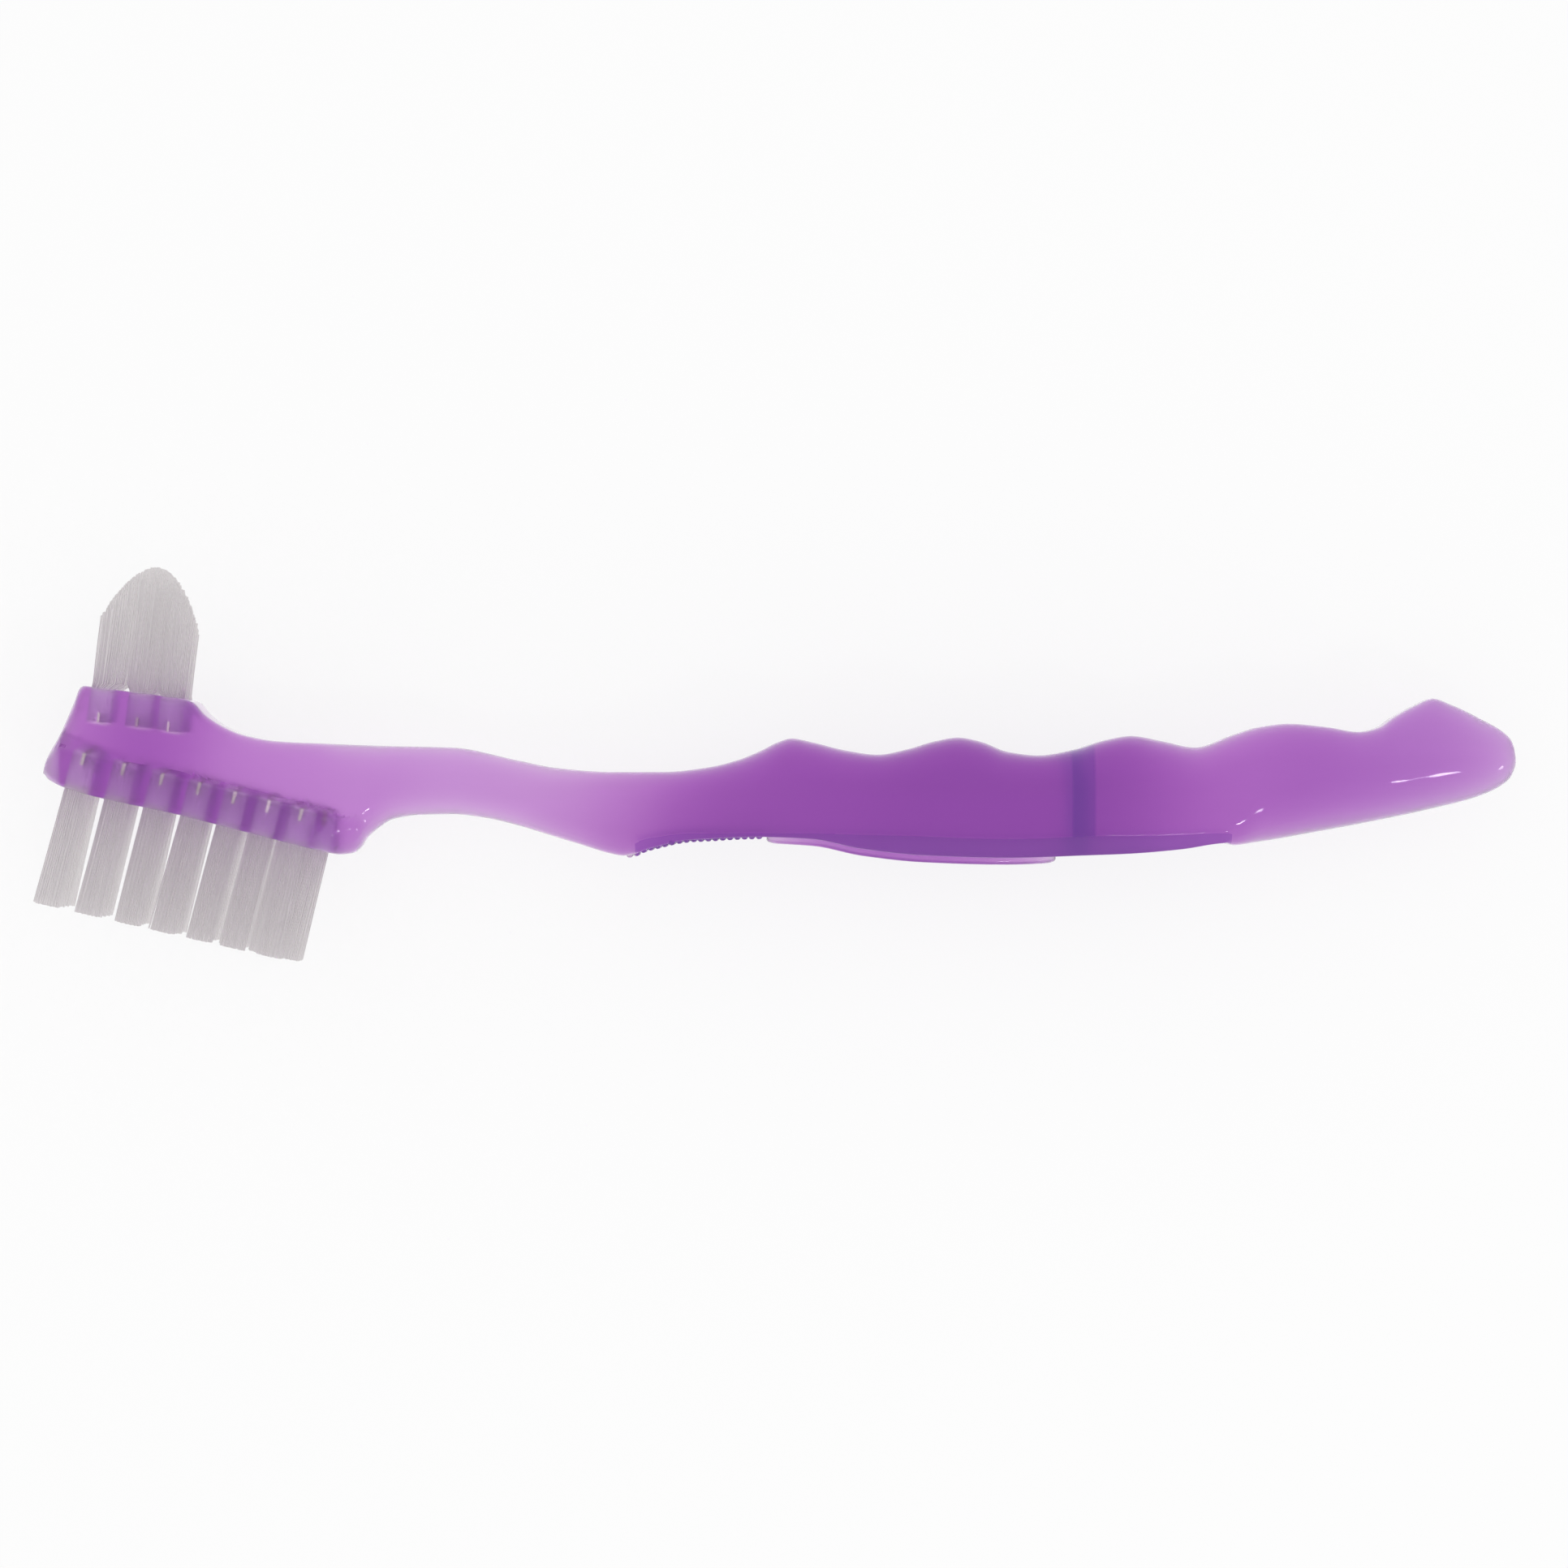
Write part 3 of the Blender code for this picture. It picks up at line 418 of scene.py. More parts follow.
def thumbStuds():
    columns = math.floor(studs["length"] / studs["columnPitch"])
    rows = math.floor(studs["width"] / studs["rowPitch"])
    centre = gripStart + studs["centreShare"] * moulding["gripLength"]
    builder = bmesh.new()
    for column in range(columns + 1):
        along = (column - columns / 2) * studs["columnPitch"]
        for row in range(rows + 1):
            across = (row - rows / 2 + column % 2 / 2) * studs["rowPitch"]
            if math.hypot(2 * along / studs["length"], 2 * across / studs["width"]) > 1:
                continue
            x = centre + along
            foot = Vector((x, curves["bottom"](x), middle + across))
            ahead, behind = x + studs["diameter"], x - studs["diameter"]
            climb = curves["bottom"](ahead) - curves["bottom"](behind)
            run = Vector((ahead - behind, climb, 0)).normalized()
            out = Vector((run.y, -run.x, 0))
            rings = []
            for level in range(-1, studs["levels"]):
                a = math.pi / 2 * max(level, 0) / studs["levels"]
                radius = studs["diameter"] / 2 * math.cos(a)
                height = studs["height"] * (math.sin(a) if level >= 0 else -1)
                turns = (math.tau * i / studs["around"] for i in range(studs["around"]))
                rings.append([foot + run * (radius * math.cos(t)) + Vector((0, 0, radius * math.sin(t)))
                              + out * height for t in turns])
            skin(builder, rings)
    return meshPiece("stud_tool", builder)


# The tufts, whose places are read from their solids
tuft = {
    "holeRadius": 0.00145, "holeDepth": 0.0043, "clearance": 0.0002, "holeSides": 28, "overrun": 0.002,
    "bundleRadius": 0.00136, "bristleRadius": 0.00010, "pitch": 0.000238, "shake": 0.16,
    "sides": 5, "rings": 5, "ringSpacing": 1.8, "sharpAngle": math.radians(60), "seed": 11,
    "wideFlare": 0.11, "wideSpring": 0.9, "wideDraw": 0.0, "wideLean": 0.00011,
    "pointedFlare": 0.45, "pointedSpring": 0.09, "pointedDraw": 0.16, "pointedLean": 0.00005,
    "wander": 0.00004, "tipWander": 0.00006, "lengthShare": 0.010,
    "noseBristle": 0.0142, "heelBristle": 0.0135, "wideLength": 0.0285,
    "peakBristle": 0.0151, "shoulderBristle": 0.0087, "peakPlace": 0.0042, "trimPower": 1.9,
    "noseReach": 0.0059, "heelReach": 0.0053, "sideReach": 0.0080,
    "anchorLength": 0.0026, "anchorHeight": 0.0012, "anchorThickness": 0.0003, "anchorEdge": 0.00006,
    "anchorRoom": 1.5,  # bristle radii between the strip and the bristles folded over it
}
wideRun = Vector((math.cos(moulding["faceAngle"]), -math.sin(moulding["faceAngle"]), 0))
towerEnds = [headStart + share * moulding["headLength"] for share in (0.173, 0.472)]
towerTops = [Vector((x, curves["top"](x), 0)) for x in towerEnds]
towerRun = (towerTops[1] - towerTops[0]).normalized()


def tuftSeats():  # name, foot in the face, row direction and outward direction of each tuft
    seats = []
    for name, node in sorted(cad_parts.items()):
        if "tuft" not in name:
            continue
        wide = name.startswith("wide")
        run = wideRun if wide else towerRun
        out = Vector((run.y, -run.x, 0)) if wide else Vector((-run.y, run.x, 0))
        points = [v.co.copy() for v in node.data.vertices]
        lowest = min(p.dot(out) for p in points)
        deepest = [p for p in points if p.dot(out) < lowest + tuft["clearance"]]
        root = sum(deepest, Vector()) / len(deepest)
        seats.append((name, root + out * (tuft["holeDepth"] - tuft["clearance"]), run, out))
    return seats


def fieldMiddle(seats, kind):  # the middle of all the feet of one brush, and its first foot
    feet = [foot for name, foot, _, _ in seats if name.startswith(kind)]
    return sum(feet, Vector()) / len(feet), min(feet, key=lambda foot: foot.x)


def tuftHoles(seats):
    builder = bmesh.new()
    for _, foot, run, out in seats:
        turns = [math.tau * i / tuft["holeSides"] for i in range(tuft["holeSides"])]
        ring = [(run * math.cos(t) + Vector((0, 0, math.sin(t)))) * tuft["holeRadius"] for t in turns]
        levels = (-tuft["holeDepth"], tuft["overrun"])
        skin(builder, [[foot + p + out * level for p in ring] for level in levels])
    return meshPiece("hole_tool", builder)


def trimHeight(kind, along, across):  # bristle length at a place in the brush, counted from its first tuft
    if kind == "wide":
        share = along / tuft["wideLength"]
        return tuft["noseBristle"] + (tuft["heelBristle"] - tuft["noseBristle"]) * share
    along -= tuft["peakPlace"]
    reach = tuft["heelReach"] if along > 0 else tuft["noseReach"]
    off = math.hypot(along / reach, across / tuft["sideReach"])
    return tuft["peakBristle"] - (tuft["peakBristle"] - tuft["shoulderBristle"]) * off ** tuft["trimPower"]


def bundleFeet(draws):  # a hexagonal packing of bristles, shaken a little
    feet = []
    rows = math.ceil(tuft["bundleRadius"] / tuft["pitch"]) + 1
    for j in range(-rows, rows + 1):
        for i in range(-rows, rows + 1):
            a = (i + j % 2 / 2) * tuft["pitch"]
            b = j * tuft["pitch"] * math.sqrt(3) / 2
            if math.hypot(a, b) <= tuft["bundleRadius"]:
                shake = tuft["pitch"] * tuft["shake"]
                feet.append((a + draws.uniform(-shake, shake), b + draws.uniform(-shake, shake)))
    return feet


def makeTuft(seat, spans, material, draws):
    name, foot, run, out = seat
    across = Vector((0, 0, 1))
    mesh = bmesh.new()
    along = mesh.verts.layers.float.new("alongBristle")
    tone = mesh.verts.layers.float.new("bristleTone")
    deep = tuft["holeDepth"] - tuft["clearance"]
    kind = "wide" if name.startswith("wide") else "pointed"
    centre, first = spans[kind]
    drawn = Vector(((centre - foot).dot(run), centre.z - foot.z)) * tuft[kind + "Draw"]
    drawn += Vector((draws.gauss(0, 1), draws.gauss(0, 1))) * tuft[kind + "Lean"]
    for a, b in bundleFeet(draws):
        overStrip = abs(a) < tuft["anchorThickness"] / 2 + tuft["bristleRadius"] * tuft["anchorRoom"]
        start = -deep + (tuft["anchorHeight"] if overStrip else 0) + tuft["bristleRadius"]
        tip = Vector((a, b)) * (1 + tuft[kind + "Flare"]) + drawn
        long = trimHeight(kind, (foot - first).dot(run) + tip.x, foot.z + tip.y - middle)
        long *= 1 - draws.random() * tuft["lengthShare"]
        lean = Vector((draws.gauss(0, 1), draws.gauss(0, 1))) * tuft["tipWander"]
        bow = Vector((draws.gauss(0, 1), draws.gauss(0, 1))) * tuft["wander"]
        shade = draws.random()
        loops = []
        shares = [((i + 1) / tuft["rings"]) ** tuft["ringSpacing"] for i in range(tuft["rings"])]
        levels = [start, 0.0] + [long * share for share in shares]
        for level in levels:
            share = max(level, 0) / long
            at = Vector((a, b)).lerp(tip, share ** tuft[kind + "Spring"]) + lean * share
            at += bow * math.sin(math.pi * share)
            loop = []
            for k in range(tuft["sides"]):
                t = math.tau * k / tuft["sides"]
                p = at + Vector((math.cos(t), math.sin(t))) * tuft["bristleRadius"]
                v = mesh.verts.new(foot + run * p.x + across * p.y + out * level)
                v[along] = level / long
                v[tone] = shade
                loop.append(v)
            loops.append(loop)
        for one, other in zip(loops, loops[1:]):
            for k in range(tuft["sides"]):
                j = (k + 1) % tuft["sides"]
                mesh.faces.new((one[k], one[j], other[j], other[k]))
        mesh.faces.new(loops[0])
        mesh.faces.new(loops[-1])
    piece = meshPiece(name.replace("tuft", "bristles"), mesh, material, tuft["sharpAngle"])
    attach(piece, "root")
    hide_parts(name)


def makeAnchor(seat, material):  # the metal strip at the bottom of the hole, as a bevelled bar
    name, foot, run, out = seat
    builder = bmesh.new()
    bmesh.ops.create_cube(builder, size=1)
    sizes = Matrix.Diagonal((tuft["anchorThickness"], tuft["anchorHeight"], tuft["anchorLength"], 1))
    axes = Matrix((run, out, Vector((0, 0, 1)))).transposed().to_4x4()
    deep = tuft["holeDepth"] - tuft["clearance"] - tuft["anchorHeight"] / 2
    builder.transform(Matrix.Translation(foot - out * deep) @ axes @ sizes)
    bmesh.ops.bevel(builder, geom=list(builder.edges), offset=tuft["anchorEdge"], segments=2,
                    affect="EDGES", profile=0.5)
    piece = meshPiece(name.replace("tuft", "anchor"), builder, material)
    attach(piece, "root")


def markFaces(piece, seats):  # which faces are hole walls, and which lie on the planed panel and get its painted shade
    mesh = piece.data
    holes = mesh.attributes.new("holeWall", "FLOAT", "FACE")
    panel = mesh.attributes.new("bevelShadeMask", "FLOAT", "FACE")
    hair = tuft["clearance"] / 10
    for face in mesh.polygons:
        c = face.center
        rise = c.y - curves["bottom"](c.x)
        along, across = (c.x - padPlace) * 2 / pad["length"], (c.z - middle) * 2 / pad["width"]
        clear = math.hypot(along, across) < pad["bevelShadeRim"] and rise < pad["height"] / 2
        near = rise < curves["bevel"](c.x) * moulding["bevelShadeRise"]
        # painted shade: the bevel and the panel under it are marked to be darkened, for the light the real
        # bevel bends away
        if panelStart < c.x < panelEnd and near and not clear:
            panel.data[face.index].value = 1
        for _, foot, run, out in seats:
            off = c - foot
            if off.length > 2 * tuft["holeDepth"]:
                continue
            inside = -tuft["holeDepth"] - hair < off.dot(out) < -hair
            if inside and math.hypot(off.dot(run), off.z) < tuft["holeRadius"] + hair:
                holes.data[face.index].value = 1
                break


# Materials
def nodeTree(name):
    material = bpy.data.materials.new(name)
    material.use_nodes = True
    tree = material.node_tree
    tree.nodes.clear()
    return material, tree


def add(tree, kind, **values):  # a node with its properties and its plain inputs set
    node = tree.nodes.new(kind)
    for key, value in values.items():
        socket = node.inputs.get(key.replace("_", " "))
        if socket is not None:
            socket.default_value = value
        else:
            setattr(node, key, value)
    return node


def groupOf(name, inputs, outputs):
    group = bpy.data.node_groups.new(name, "ShaderNodeTree")
    for label, kind, value in inputs:
        socket = group.interface.new_socket(label, in_out="INPUT", socket_type=kind)
        if value is not None:
            socket.default_value = value
    for label, kind in outputs:
        group.interface.new_socket(label, in_out="OUTPUT", socket_type=kind)
    return group, group.nodes.new("NodeGroupInput"), group.nodes.new("NodeGroupOutput")


def cloudGroup():  # soft uneven patches at a given size
    group, source, result = groupOf(
        "softClouds",
        [("Position", "NodeSocketVector", None), ("Scale", "NodeSocketFloat", 60.0),
         ("Low", "NodeSocketFloat", 0.0), ("High", "NodeSocketFloat", 1.0)],
        [("Value", "NodeSocketFloat")],
    )
    noise = add(group, "ShaderNodeTexNoise", Detail=3.0, Roughness=0.55)
    remap = add(group, "ShaderNodeMapRange")  # the noise seldom leaves 0.3 to 0.7
    group.links.new(source.outputs["Position"], noise.inputs["Vector"])
    group.links.new(source.outputs["Scale"], noise.inputs["Scale"])
    group.links.new(noise.outputs["Fac"], remap.inputs["Value"])
    remap.inputs["From Min"].default_value = 0.3
    remap.inputs["From Max"].default_value = 0.7
    group.links.new(source.outputs["Low"], remap.inputs["To Min"])
    group.links.new(source.outputs["High"], remap.inputs["To Max"])
    group.links.new(remap.outputs["Result"], result.inputs["Value"])
    return group


def streakGroup():  # fine scratches or drawn lines along one axis
    group, source, result = groupOf(
        "fineStreaks",
        [("Position", "NodeSocketVector", None), ("Stretch", "NodeSocketVector", (60.0, 900.0, 900.0)),
         ("Amount", "NodeSocketFloat", 1.0)],
        [("Height", "NodeSocketFloat")],
    )
    stretch = add(group, "ShaderNodeVectorMath", operation="MULTIPLY")
    noise = add(group, "ShaderNodeTexNoise", Scale=1.0, Detail=2.0, Roughness=0.6)
    strength = add(group, "ShaderNodeMath", operation="MULTIPLY")
    group.links.new(source.outputs["Position"], stretch.inputs[0])
    group.links.new(source.outputs["Stretch"], stretch.inputs[1])
    group.links.new(stretch.outputs[0], noise.inputs["Vector"])
    group.links.new(noise.outputs["Fac"], strength.inputs[0])
    group.links.new(source.outputs["Amount"], strength.inputs[1])
    group.links.new(strength.outputs[0], result.inputs["Height"])
    return group


softClouds = cloudGroup()
fineStreaks = streakGroup()


def placeGroup(tree, group, **values):
    node = tree.nodes.new("ShaderNodeGroup")
    node.node_tree = group
    for key, value in values.items():
        node.inputs[key].default_value = value
    return node


plastic = {
    "absorb": (0.60, 0.0, 0.713, 1), "density": 188.0, "ior": 1.18, "coat": 0.9,
    "roughLow": 0.42, "roughHigh": 0.55, "coatRough": 0.035, "holeRough": 0.6, "holeClear": 0.85,
    "sheen": 0.35, "sheenRough": 0.3, "cloudScale": 220.0,
    "bandPlace": 0.01735, "bandWidth": 0.0027, "bandTint": (0.52, 0.42, 0.76, 1),
    # painted shade for the planed panel's bevel, darker than the plastic around it
    "bandCore": 0.42, "bandRim": 0.58,  # the band fades between these shares of its width
    "bevelShadeTint": (0.52, 0.26, 0.71, 1),
    "flowStretch": (9.0, 240.0, 240.0), "flowLow": 0.35, "flowHigh": 0.65, "flowDark": 0.96,
    "scratchStretch": (120.0, 1500.0, 1500.0), "scratchHeight": 0.000004, "scratchBump": 0.35,
}
drift = (  # the colour drifts a little along the handle: place along X and tint
    (-0.105, (0.990, 0.985, 0.970, 1)), (-0.070, (0.975, 0.985, 0.980, 1)),
    (-0.057, (0.957, 0.975, 0.967, 1)), (-0.034, (0.950, 0.970, 0.940, 1)),
    (-0.012, (0.985, 0.975, 0.985, 1)), (0.034, (0.985, 0.985, 0.985, 1)),
    (0.045, (0.950, 0.975, 0.970, 1)), (0.056, (0.915, 0.955, 0.950, 1)),
    (0.069, (0.925, 0.965, 0.955, 1)),
)


def violetPlastic():
    material, tree = nodeTree("violetPlastic")
    output = add(tree, "ShaderNodeOutputMaterial")
    shader = add(tree, "ShaderNodeBsdfPrincipled", Metallic=0.0, IOR=plastic["ior"])
    shader.inputs["Transmission Weight"].default_value = 1.0
    place = add(tree, "ShaderNodeTexCoord")
    clouds = placeGroup(tree, softClouds, Scale=plastic["cloudScale"], Low=plastic["roughLow"],
                        High=plastic["roughHigh"])
    tree.links.new(place.outputs["Object"], clouds.inputs["Position"])
    holes = add(tree, "ShaderNodeAttribute", attribute_name="holeWall")
    dull = add(tree, "ShaderNodeMix", data_type="FLOAT")
    dull.inputs[3].default_value = plastic["holeRough"]
    tree.links.new(holes.outputs["Fac"], dull.inputs[0])
    tree.links.new(clouds.outputs["Value"], dull.inputs[2])
    tree.links.new(dull.outputs[0], shader.inputs["Roughness"])
    shader.inputs["Coat Weight"].default_value = plastic["coat"]
    shader.inputs["Coat Roughness"].default_value = plastic["coatRough"]
    shader.inputs["Sheen Weight"].default_value = plastic["sheen"]
    shader.inputs["Sheen Roughness"].default_value = plastic["sheenRough"]
    split = add(tree, "ShaderNodeSeparateXYZ")
    tree.links.new(place.outputs["Object"], split.inputs["Vector"])
    off = add(tree, "ShaderNodeMath", operation="SUBTRACT")
    off.inputs[1].default_value = plastic["bandPlace"]
    size = add(tree, "ShaderNodeMath", operation="ABSOLUTE")
    edge = add(tree, "ShaderNodeMapRange", interpolation_type="SMOOTHSTEP")
    edge.inputs["From Min"].default_value = plastic["bandWidth"] * plastic["bandCore"]
    edge.inputs["From Max"].default_value = plastic["bandWidth"] * plastic["bandRim"]
    edge.inputs["To Min"].default_value = 1.0
    edge.inputs["To Max"].default_value = 0.0
    tree.links.new(split.outputs["X"], off.inputs[0])
    tree.links.new(off.outputs[0], size.inputs[0])
    tree.links.new(size.outputs[0], edge.inputs["Value"])
    share = add(tree, "ShaderNodeMapRange")
    share.inputs["From Min"].default_value = drift[0][0]
    share.inputs["From Max"].default_value = drift[-1][0]
    tree.links.new(split.outputs["X"], share.inputs["Value"])
    tints = add(tree, "ShaderNodeValToRGB")
    stops = tints.color_ramp.elements
    for x, tint in drift[1:-1]:
        stops.new((x - drift[0][0]) / (drift[-1][0] - drift[0][0])).color = tint
    stops[0].color = drift[0][1]
    stops[-1].color = drift[-1][1]
    tree.links.new(share.outputs["Result"], tints.inputs["Fac"])
    flow = placeGroup(tree, fineStreaks, Stretch=plastic["flowStretch"], Amount=1.0)  # flow lines
    tree.links.new(place.outputs["Object"], flow.inputs["Position"])
    shade = add(tree, "ShaderNodeMapRange")
    shade.inputs["From Min"].default_value = plastic["flowLow"]
    shade.inputs["From Max"].default_value = plastic["flowHigh"]
    shade.inputs["To Min"].default_value = plastic["flowDark"]
    tree.links.new(flow.outputs["Height"], shade.inputs["Value"])
    lined = add(tree, "ShaderNodeMix", data_type="RGBA", blend_type="MULTIPLY")
    lined.inputs[0].default_value = 1.0
    tree.links.new(tints.outputs["Color"], lined.inputs[6])
    tree.links.new(shade.outputs["Result"], lined.inputs[7])
    colour = add(tree, "ShaderNodeMix", data_type="RGBA")
    colour.inputs[7].default_value = plastic["bandTint"]
    tree.links.new(edge.outputs["Result"], colour.inputs[0])
    tree.links.new(lined.outputs[2], colour.inputs[6])
    # painted shade: the marked bevel faces take a darker tint, for the light the real bevel bends away
    panel = add(tree, "ShaderNodeAttribute", attribute_name="bevelShadeMask")
    planed = add(tree, "ShaderNodeMix", data_type="RGBA")
    planed.inputs[7].default_value = plastic["bevelShadeTint"]
    tree.links.new(panel.outputs["Fac"], planed.inputs[0])
    tree.links.new(colour.outputs[2], planed.inputs[6])
    tree.links.new(planed.outputs[2], shader.inputs["Base Color"])
    streaks = placeGroup(tree, fineStreaks, Stretch=plastic["scratchStretch"],
                         Amount=plastic["scratchHeight"])
    tree.links.new(place.outputs["Object"], streaks.inputs["Position"])
    bump = add(tree, "ShaderNodeBump", Strength=plastic["scratchBump"], Distance=1.0)
    tree.links.new(streaks.outputs["Height"], bump.inputs["Height"])
    tree.links.new(bump.outputs["Normal"], shader.inputs["Normal"])
    absorb = add(tree, "ShaderNodeVolumeAbsorption", Color=plastic["absorb"], Density=plastic["density"])
    pressed = add(tree, "ShaderNodeMath", operation="MULTIPLY")  # tufts press on the hole walls
    pressed.inputs[1].default_value = plastic["holeClear"]
    clear = add(tree, "ShaderNodeBsdfTransparent")
    seen = add(tree, "ShaderNodeMixShader")
    tree.links.new(holes.outputs["Fac"], pressed.inputs[0])
    tree.links.new(pressed.outputs[0], seen.inputs[0])
    tree.links.new(shader.outputs["BSDF"], seen.inputs[1])
    tree.links.new(clear.outputs["BSDF"], seen.inputs[2])
    tree.links.new(seen.outputs[0], output.inputs["Surface"])
    tree.links.new(absorb.outputs["Volume"], output.inputs["Volume"])
    return material


nylon = {
    "root": (0.88, 0.66, 0.98, 1), "tip": (0.75, 0.72, 0.725, 1), "dull": (0.72, 0.69, 0.695, 1),
    "roughLow": 0.30, "roughHigh": 0.45, "cloudScale": 900.0, "ior": 1.53, "glow": 0.93, "through": 0.985,
    "rootEnd": -0.07, "freeStart": 0.03,  # the violet painted onto the roots, for the light that reaches them through the plastic, fades between these shares of a bristle
}


def nylonBristle():
    material, tree = nodeTree("nylonBristle")
    output = add(tree, "ShaderNodeOutputMaterial")
    shader = add(tree, "ShaderNodeBsdfPrincipled", Metallic=0.0, IOR=nylon["ior"])
    along = add(tree, "ShaderNodeAttribute", attribute_name="alongBristle")
    tone = add(tree, "ShaderNodeAttribute", attribute_name="bristleTone")
    ramped = add(tree, "ShaderNodeMapRange", interpolation_type="SMOOTHSTEP")
    ramped.inputs["From Min"].default_value = nylon["rootEnd"]
    ramped.inputs["From Max"].default_value = nylon["freeStart"]
    tree.links.new(along.outputs["Fac"], ramped.inputs["Value"])
    pale = add(tree, "ShaderNodeMix", data_type="RGBA")
    pale.inputs[6].default_value = nylon["dull"]
    pale.inputs[7].default_value = nylon["tip"]
    tree.links.new(tone.outputs["Fac"], pale.inputs[0])
    colour = add(tree, "ShaderNodeMix", data_type="RGBA")
    # painted light: the roots inside the plastic are painted bright violet for the violet light that
    # reaches them through it
    colour.inputs[6].default_value = nylon["root"]
    tree.links.new(pale.outputs[2], colour.inputs[7])
    tree.links.new(ramped.outputs["Result"], colour.inputs[0])
    tree.links.new(colour.outputs[2], shader.inputs["Base Color"])
    place = add(tree, "ShaderNodeTexCoord")
    clouds = placeGroup(tree, softClouds, Scale=nylon["cloudScale"], Low=nylon["roughLow"],
                        High=nylon["roughHigh"])
    tree.links.new(place.outputs["Object"], clouds.inputs["Position"])
    tree.links.new(clouds.outputs["Value"], shader.inputs["Roughness"])
    path = add(tree, "ShaderNodeLightPath")  # lamps and soft light reach the middle of a tuft
    light = add(tree, "ShaderNodeMath", operation="MAXIMUM")
    share = add(tree, "ShaderNodeMath", operation="MULTIPLY")
    share.inputs[1].default_value = nylon["through"]
    clear = add(tree, "ShaderNodeBsdfTransparent")
    back = add(tree, "ShaderNodeBsdfTranslucent")  # what comes through from the far side
    both = add(tree, "ShaderNodeMixShader")
    both.inputs[0].default_value = nylon["glow"]
    tree.links.new(colour.outputs[2], back.inputs["Color"])
    tree.links.new(shader.outputs["BSDF"], both.inputs[1])
    tree.links.new(back.outputs["BSDF"], both.inputs[2])
    mix = add(tree, "ShaderNodeMixShader")
    tree.links.new(path.outputs["Is Shadow Ray"], light.inputs[0])
    tree.links.new(path.outputs["Is Diffuse Ray"], light.inputs[1])
    tree.links.new(light.outputs[0], share.inputs[0])
    tree.links.new(share.outputs[0], mix.inputs[0])
    tree.links.new(both.outputs[0], mix.inputs[1])
    tree.links.new(clear.outputs["BSDF"], mix.inputs[2])
    tree.links.new(mix.outputs[0], output.inputs["Surface"])
    return material


strip = {
    "dull": (0.30, 0.28, 0.26, 1), "bright": (0.86, 0.84, 0.80, 1), "cloudScale": 330.0,
    "cloudLow": 0.1, "cloudHigh": 0.9, "roughLow": 0.22, "roughHigh": 0.42,
    "grainStretch": (900.0, 9000.0, 9000.0), "grainHeight": 0.000003, "grainBump": 0.4,
}


def anchorMetal():
    material, tree = nodeTree("anchorMetal")
    output = add(tree, "ShaderNodeOutputMaterial")
    shader = add(tree, "ShaderNodeBsdfPrincipled", Metallic=1.0)
    place = add(tree, "ShaderNodeTexCoord")
    clouds = placeGroup(tree, softClouds, Scale=strip["cloudScale"], Low=strip["cloudLow"],
                        High=strip["cloudHigh"])
    roughness = add(tree, "ShaderNodeMapRange")
    roughness.inputs["To Min"].default_value = strip["roughLow"]
    roughness.inputs["To Max"].default_value = strip["roughHigh"]
    tree.links.new(place.outputs["Object"], clouds.inputs["Position"])
    tree.links.new(clouds.outputs["Value"], roughness.inputs["Value"])
    tree.links.new(roughness.outputs["Result"], shader.inputs["Roughness"])
    shades = add(tree, "ShaderNodeMix", data_type="RGBA")
    shades.inputs[6].default_value = strip["dull"]
    shades.inputs[7].default_value = strip["bright"]
    tree.links.new(clouds.outputs["Value"], shades.inputs[0])
    tree.links.new(shades.outputs[2], shader.inputs["Base Color"])
    streaks = placeGroup(tree, fineStreaks, Stretch=strip["grainStretch"], Amount=strip["grainHeight"])
    tree.links.new(place.outputs["Object"], streaks.inputs["Position"])
    bump = add(tree, "ShaderNodeBump", Strength=strip["grainBump"], Distance=1.0)
    tree.links.new(streaks.outputs["Height"], bump.inputs["Height"])
    tree.links.new(bump.outputs["Normal"], shader.inputs["Normal"])
    tree.links.new(shader.outputs["BSDF"], output.inputs["Surface"])
    return material


# Table, light and camera
stage = {
    "tableSize": 3.0, "tableDrop": 0.0003, "tableColour": (0.90, 0.90, 0.90, 1), "white": (1, 1, 1, 1),
    "glow": 0.80, "worldLight": 0.95,
    "cameraHeight": 0.604, "cameraX": -0.01773, "cameraY": 0.00183, "cameraAngle": 17.5,
    "bounces": 32, "clearBounces": 200,  # light crosses many bristles and both walls of the plastic
}
lamps = (  # name, place, size, power
    ("keyLamp", (0.44, -0.46, 0.75), 0.10, 0.50),
    ("fillLamp", (0.75, -0.45, 0.27), 0.12, 0.4),
)


def whiteTable():
    builder = bmesh.new()
    bmesh.ops.create_grid(builder, x_segments=8, y_segments=8, size=stage["tableSize"] / 2)
    material, tree = nodeTree("whiteTable")
    output = add(tree, "ShaderNodeOutputMaterial")
    paper = add(tree, "ShaderNodeBsdfDiffuse", Color=stage["tableColour"])
    glow = add(tree, "ShaderNodeEmission", Color=stage["white"], Strength=1.0)
    path = add(tree, "ShaderNodeLightPath")
    direct = add(tree, "ShaderNodeMath", operation="MULTIPLY")
    direct.inputs[1].default_value = stage["glow"]
    bent = add(tree, "ShaderNodeMath", operation="MAXIMUM")
    share = add(tree, "ShaderNodeMath", operation="MAXIMUM")
    mix = add(tree, "ShaderNodeMixShader")
    tree.links.new(path.outputs["Is Camera Ray"], direct.inputs[0])
    tree.links.new(path.outputs["Is Glossy Ray"], bent.inputs[0])
    tree.links.new(path.outputs["Is Transmission Ray"], bent.inputs[1])
    tree.links.new(direct.outputs[0], share.inputs[0])
    tree.links.new(bent.outputs[0], share.inputs[1])
    tree.links.new(share.outputs[0], mix.inputs[0])
    tree.links.new(paper.outputs[0], mix.inputs[1])
    tree.links.new(glow.outputs[0], mix.inputs[2])
    tree.links.new(mix.outputs[0], output.inputs["Surface"])
    table = meshPiece("white_table", builder, material)
    table.location.z = -stage["tableDrop"]


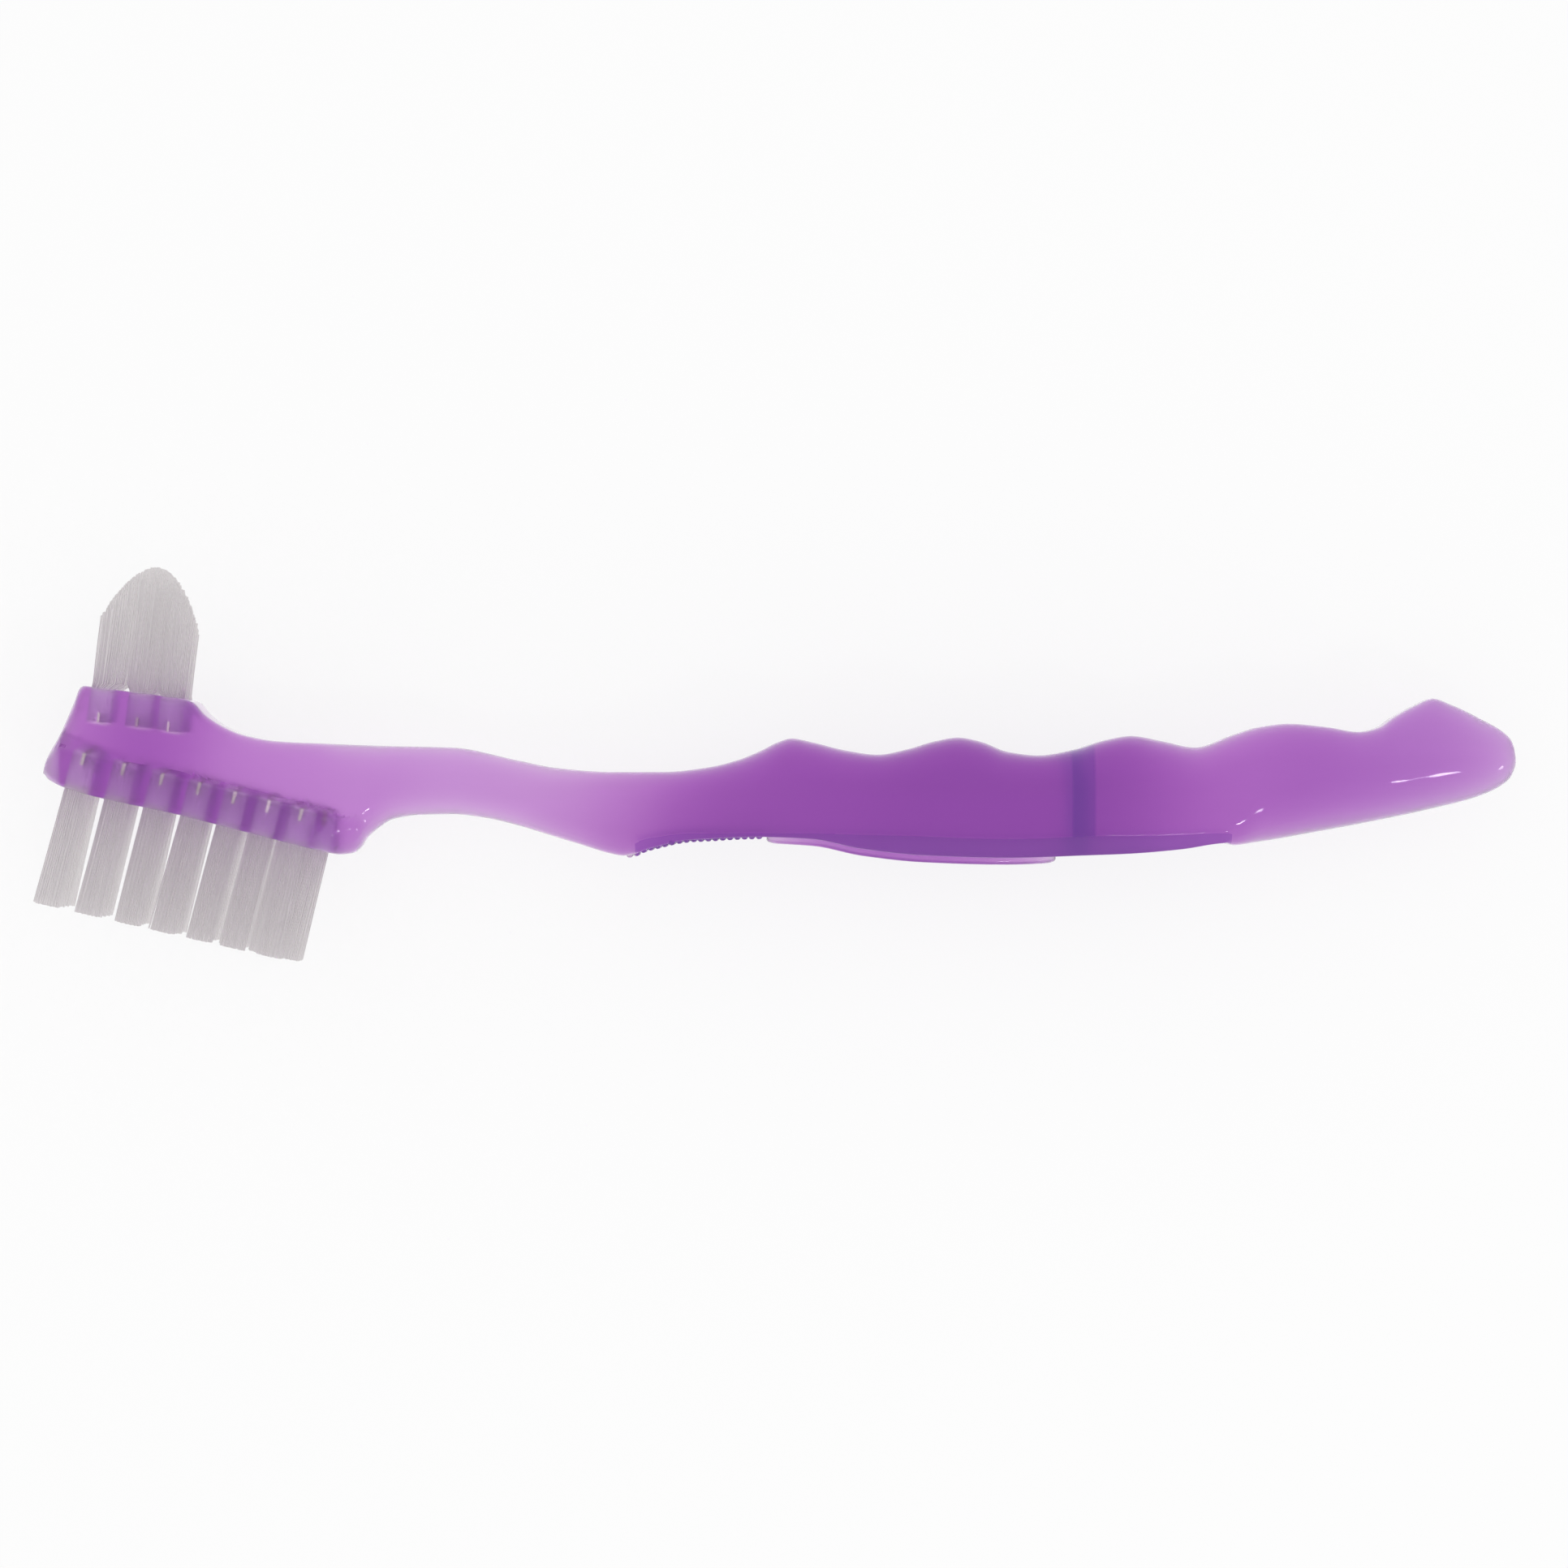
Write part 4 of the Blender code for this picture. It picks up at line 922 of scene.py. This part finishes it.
def softLight():
    world = bpy.data.worlds.new("paleRoom")
    bpy.context.scene.world = world
    world.use_nodes = True
    tree = world.node_tree
    tree.nodes.clear()
    output = add(tree, "ShaderNodeOutputWorld")
    room = add(tree, "ShaderNodeBackground", Color=stage["white"], Strength=stage["worldLight"])
    white = add(tree, "ShaderNodeBackground", Color=stage["white"], Strength=1.0)
    path = add(tree, "ShaderNodeLightPath")
    mix = add(tree, "ShaderNodeMixShader")
    seen = add(tree, "ShaderNodeMath", operation="ADD", use_clamp=True)
    through = add(tree, "ShaderNodeMath", operation="ADD", use_clamp=True)
    tree.links.new(path.outputs["Is Camera Ray"], seen.inputs[0])
    tree.links.new(path.outputs["Is Glossy Ray"], seen.inputs[1])
    tree.links.new(seen.outputs[0], through.inputs[0])
    tree.links.new(path.outputs["Is Transmission Ray"], through.inputs[1])
    tree.links.new(through.outputs[0], mix.inputs[0])
    tree.links.new(room.outputs[0], mix.inputs[1])
    tree.links.new(white.outputs[0], mix.inputs[2])
    tree.links.new(mix.outputs[0], output.inputs["Surface"])
    aim = Vector((stage["cameraX"], 0, middle))
    for name, place, size, power in lamps:
        data = bpy.data.lights.new(name, "AREA")
        data.size = size
        data.energy = power
        lamp = bpy.data.objects.new(name, data)
        lamp.location = place
        lamp.rotation_euler = (aim - Vector(place)).to_track_quat("-Z", "Y").to_euler()
        bpy.context.scene.collection.objects.link(lamp)


def overheadCamera():
    data = bpy.data.cameras.new("overheadCamera")
    data.sensor_fit = "HORIZONTAL"
    data.angle = math.radians(stage["cameraAngle"])
    camera = bpy.data.objects.new("overheadCamera", data)
    camera.location = (stage["cameraX"], stage["cameraY"], middle + stage["cameraHeight"])
    bpy.context.scene.collection.objects.link(camera)
    bpy.context.scene.camera = camera


violet = violetPlastic()
bristle = nylonBristle()
metal = anchorMetal()
overheadCamera()
softLight()
whiteTable()
bpy.context.scene.view_settings.view_transform = "Standard"
cycles = bpy.context.scene.cycles
cycles.max_bounces = stage["bounces"]
cycles.transmission_bounces = stage["bounces"]
cycles.transparent_max_bounces = stage["clearBounces"]
print("stage set")

seats = tuftSeats()
body = mouldingBody()
joined(body, raisedPad(), "UNION")
joined(body, thumbStuds(), "UNION")
joined(body, tuftHoles(seats), "DIFFERENCE")
markFaces(body, seats)
body.data.materials.clear()
body.data.materials.append(violet)
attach(body, "root")
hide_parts("handle_moulding")
print("moulding done:", len(body.data.polygons), "faces")

draws = random.Random(tuft["seed"])
spans = {kind: fieldMiddle(seats, kind) for kind in ("wide", "pointed")}
for seat in seats:
    makeTuft(seat, spans, bristle, draws)
    makeAnchor(seat, metal)
print("tufts done:", len(seats))
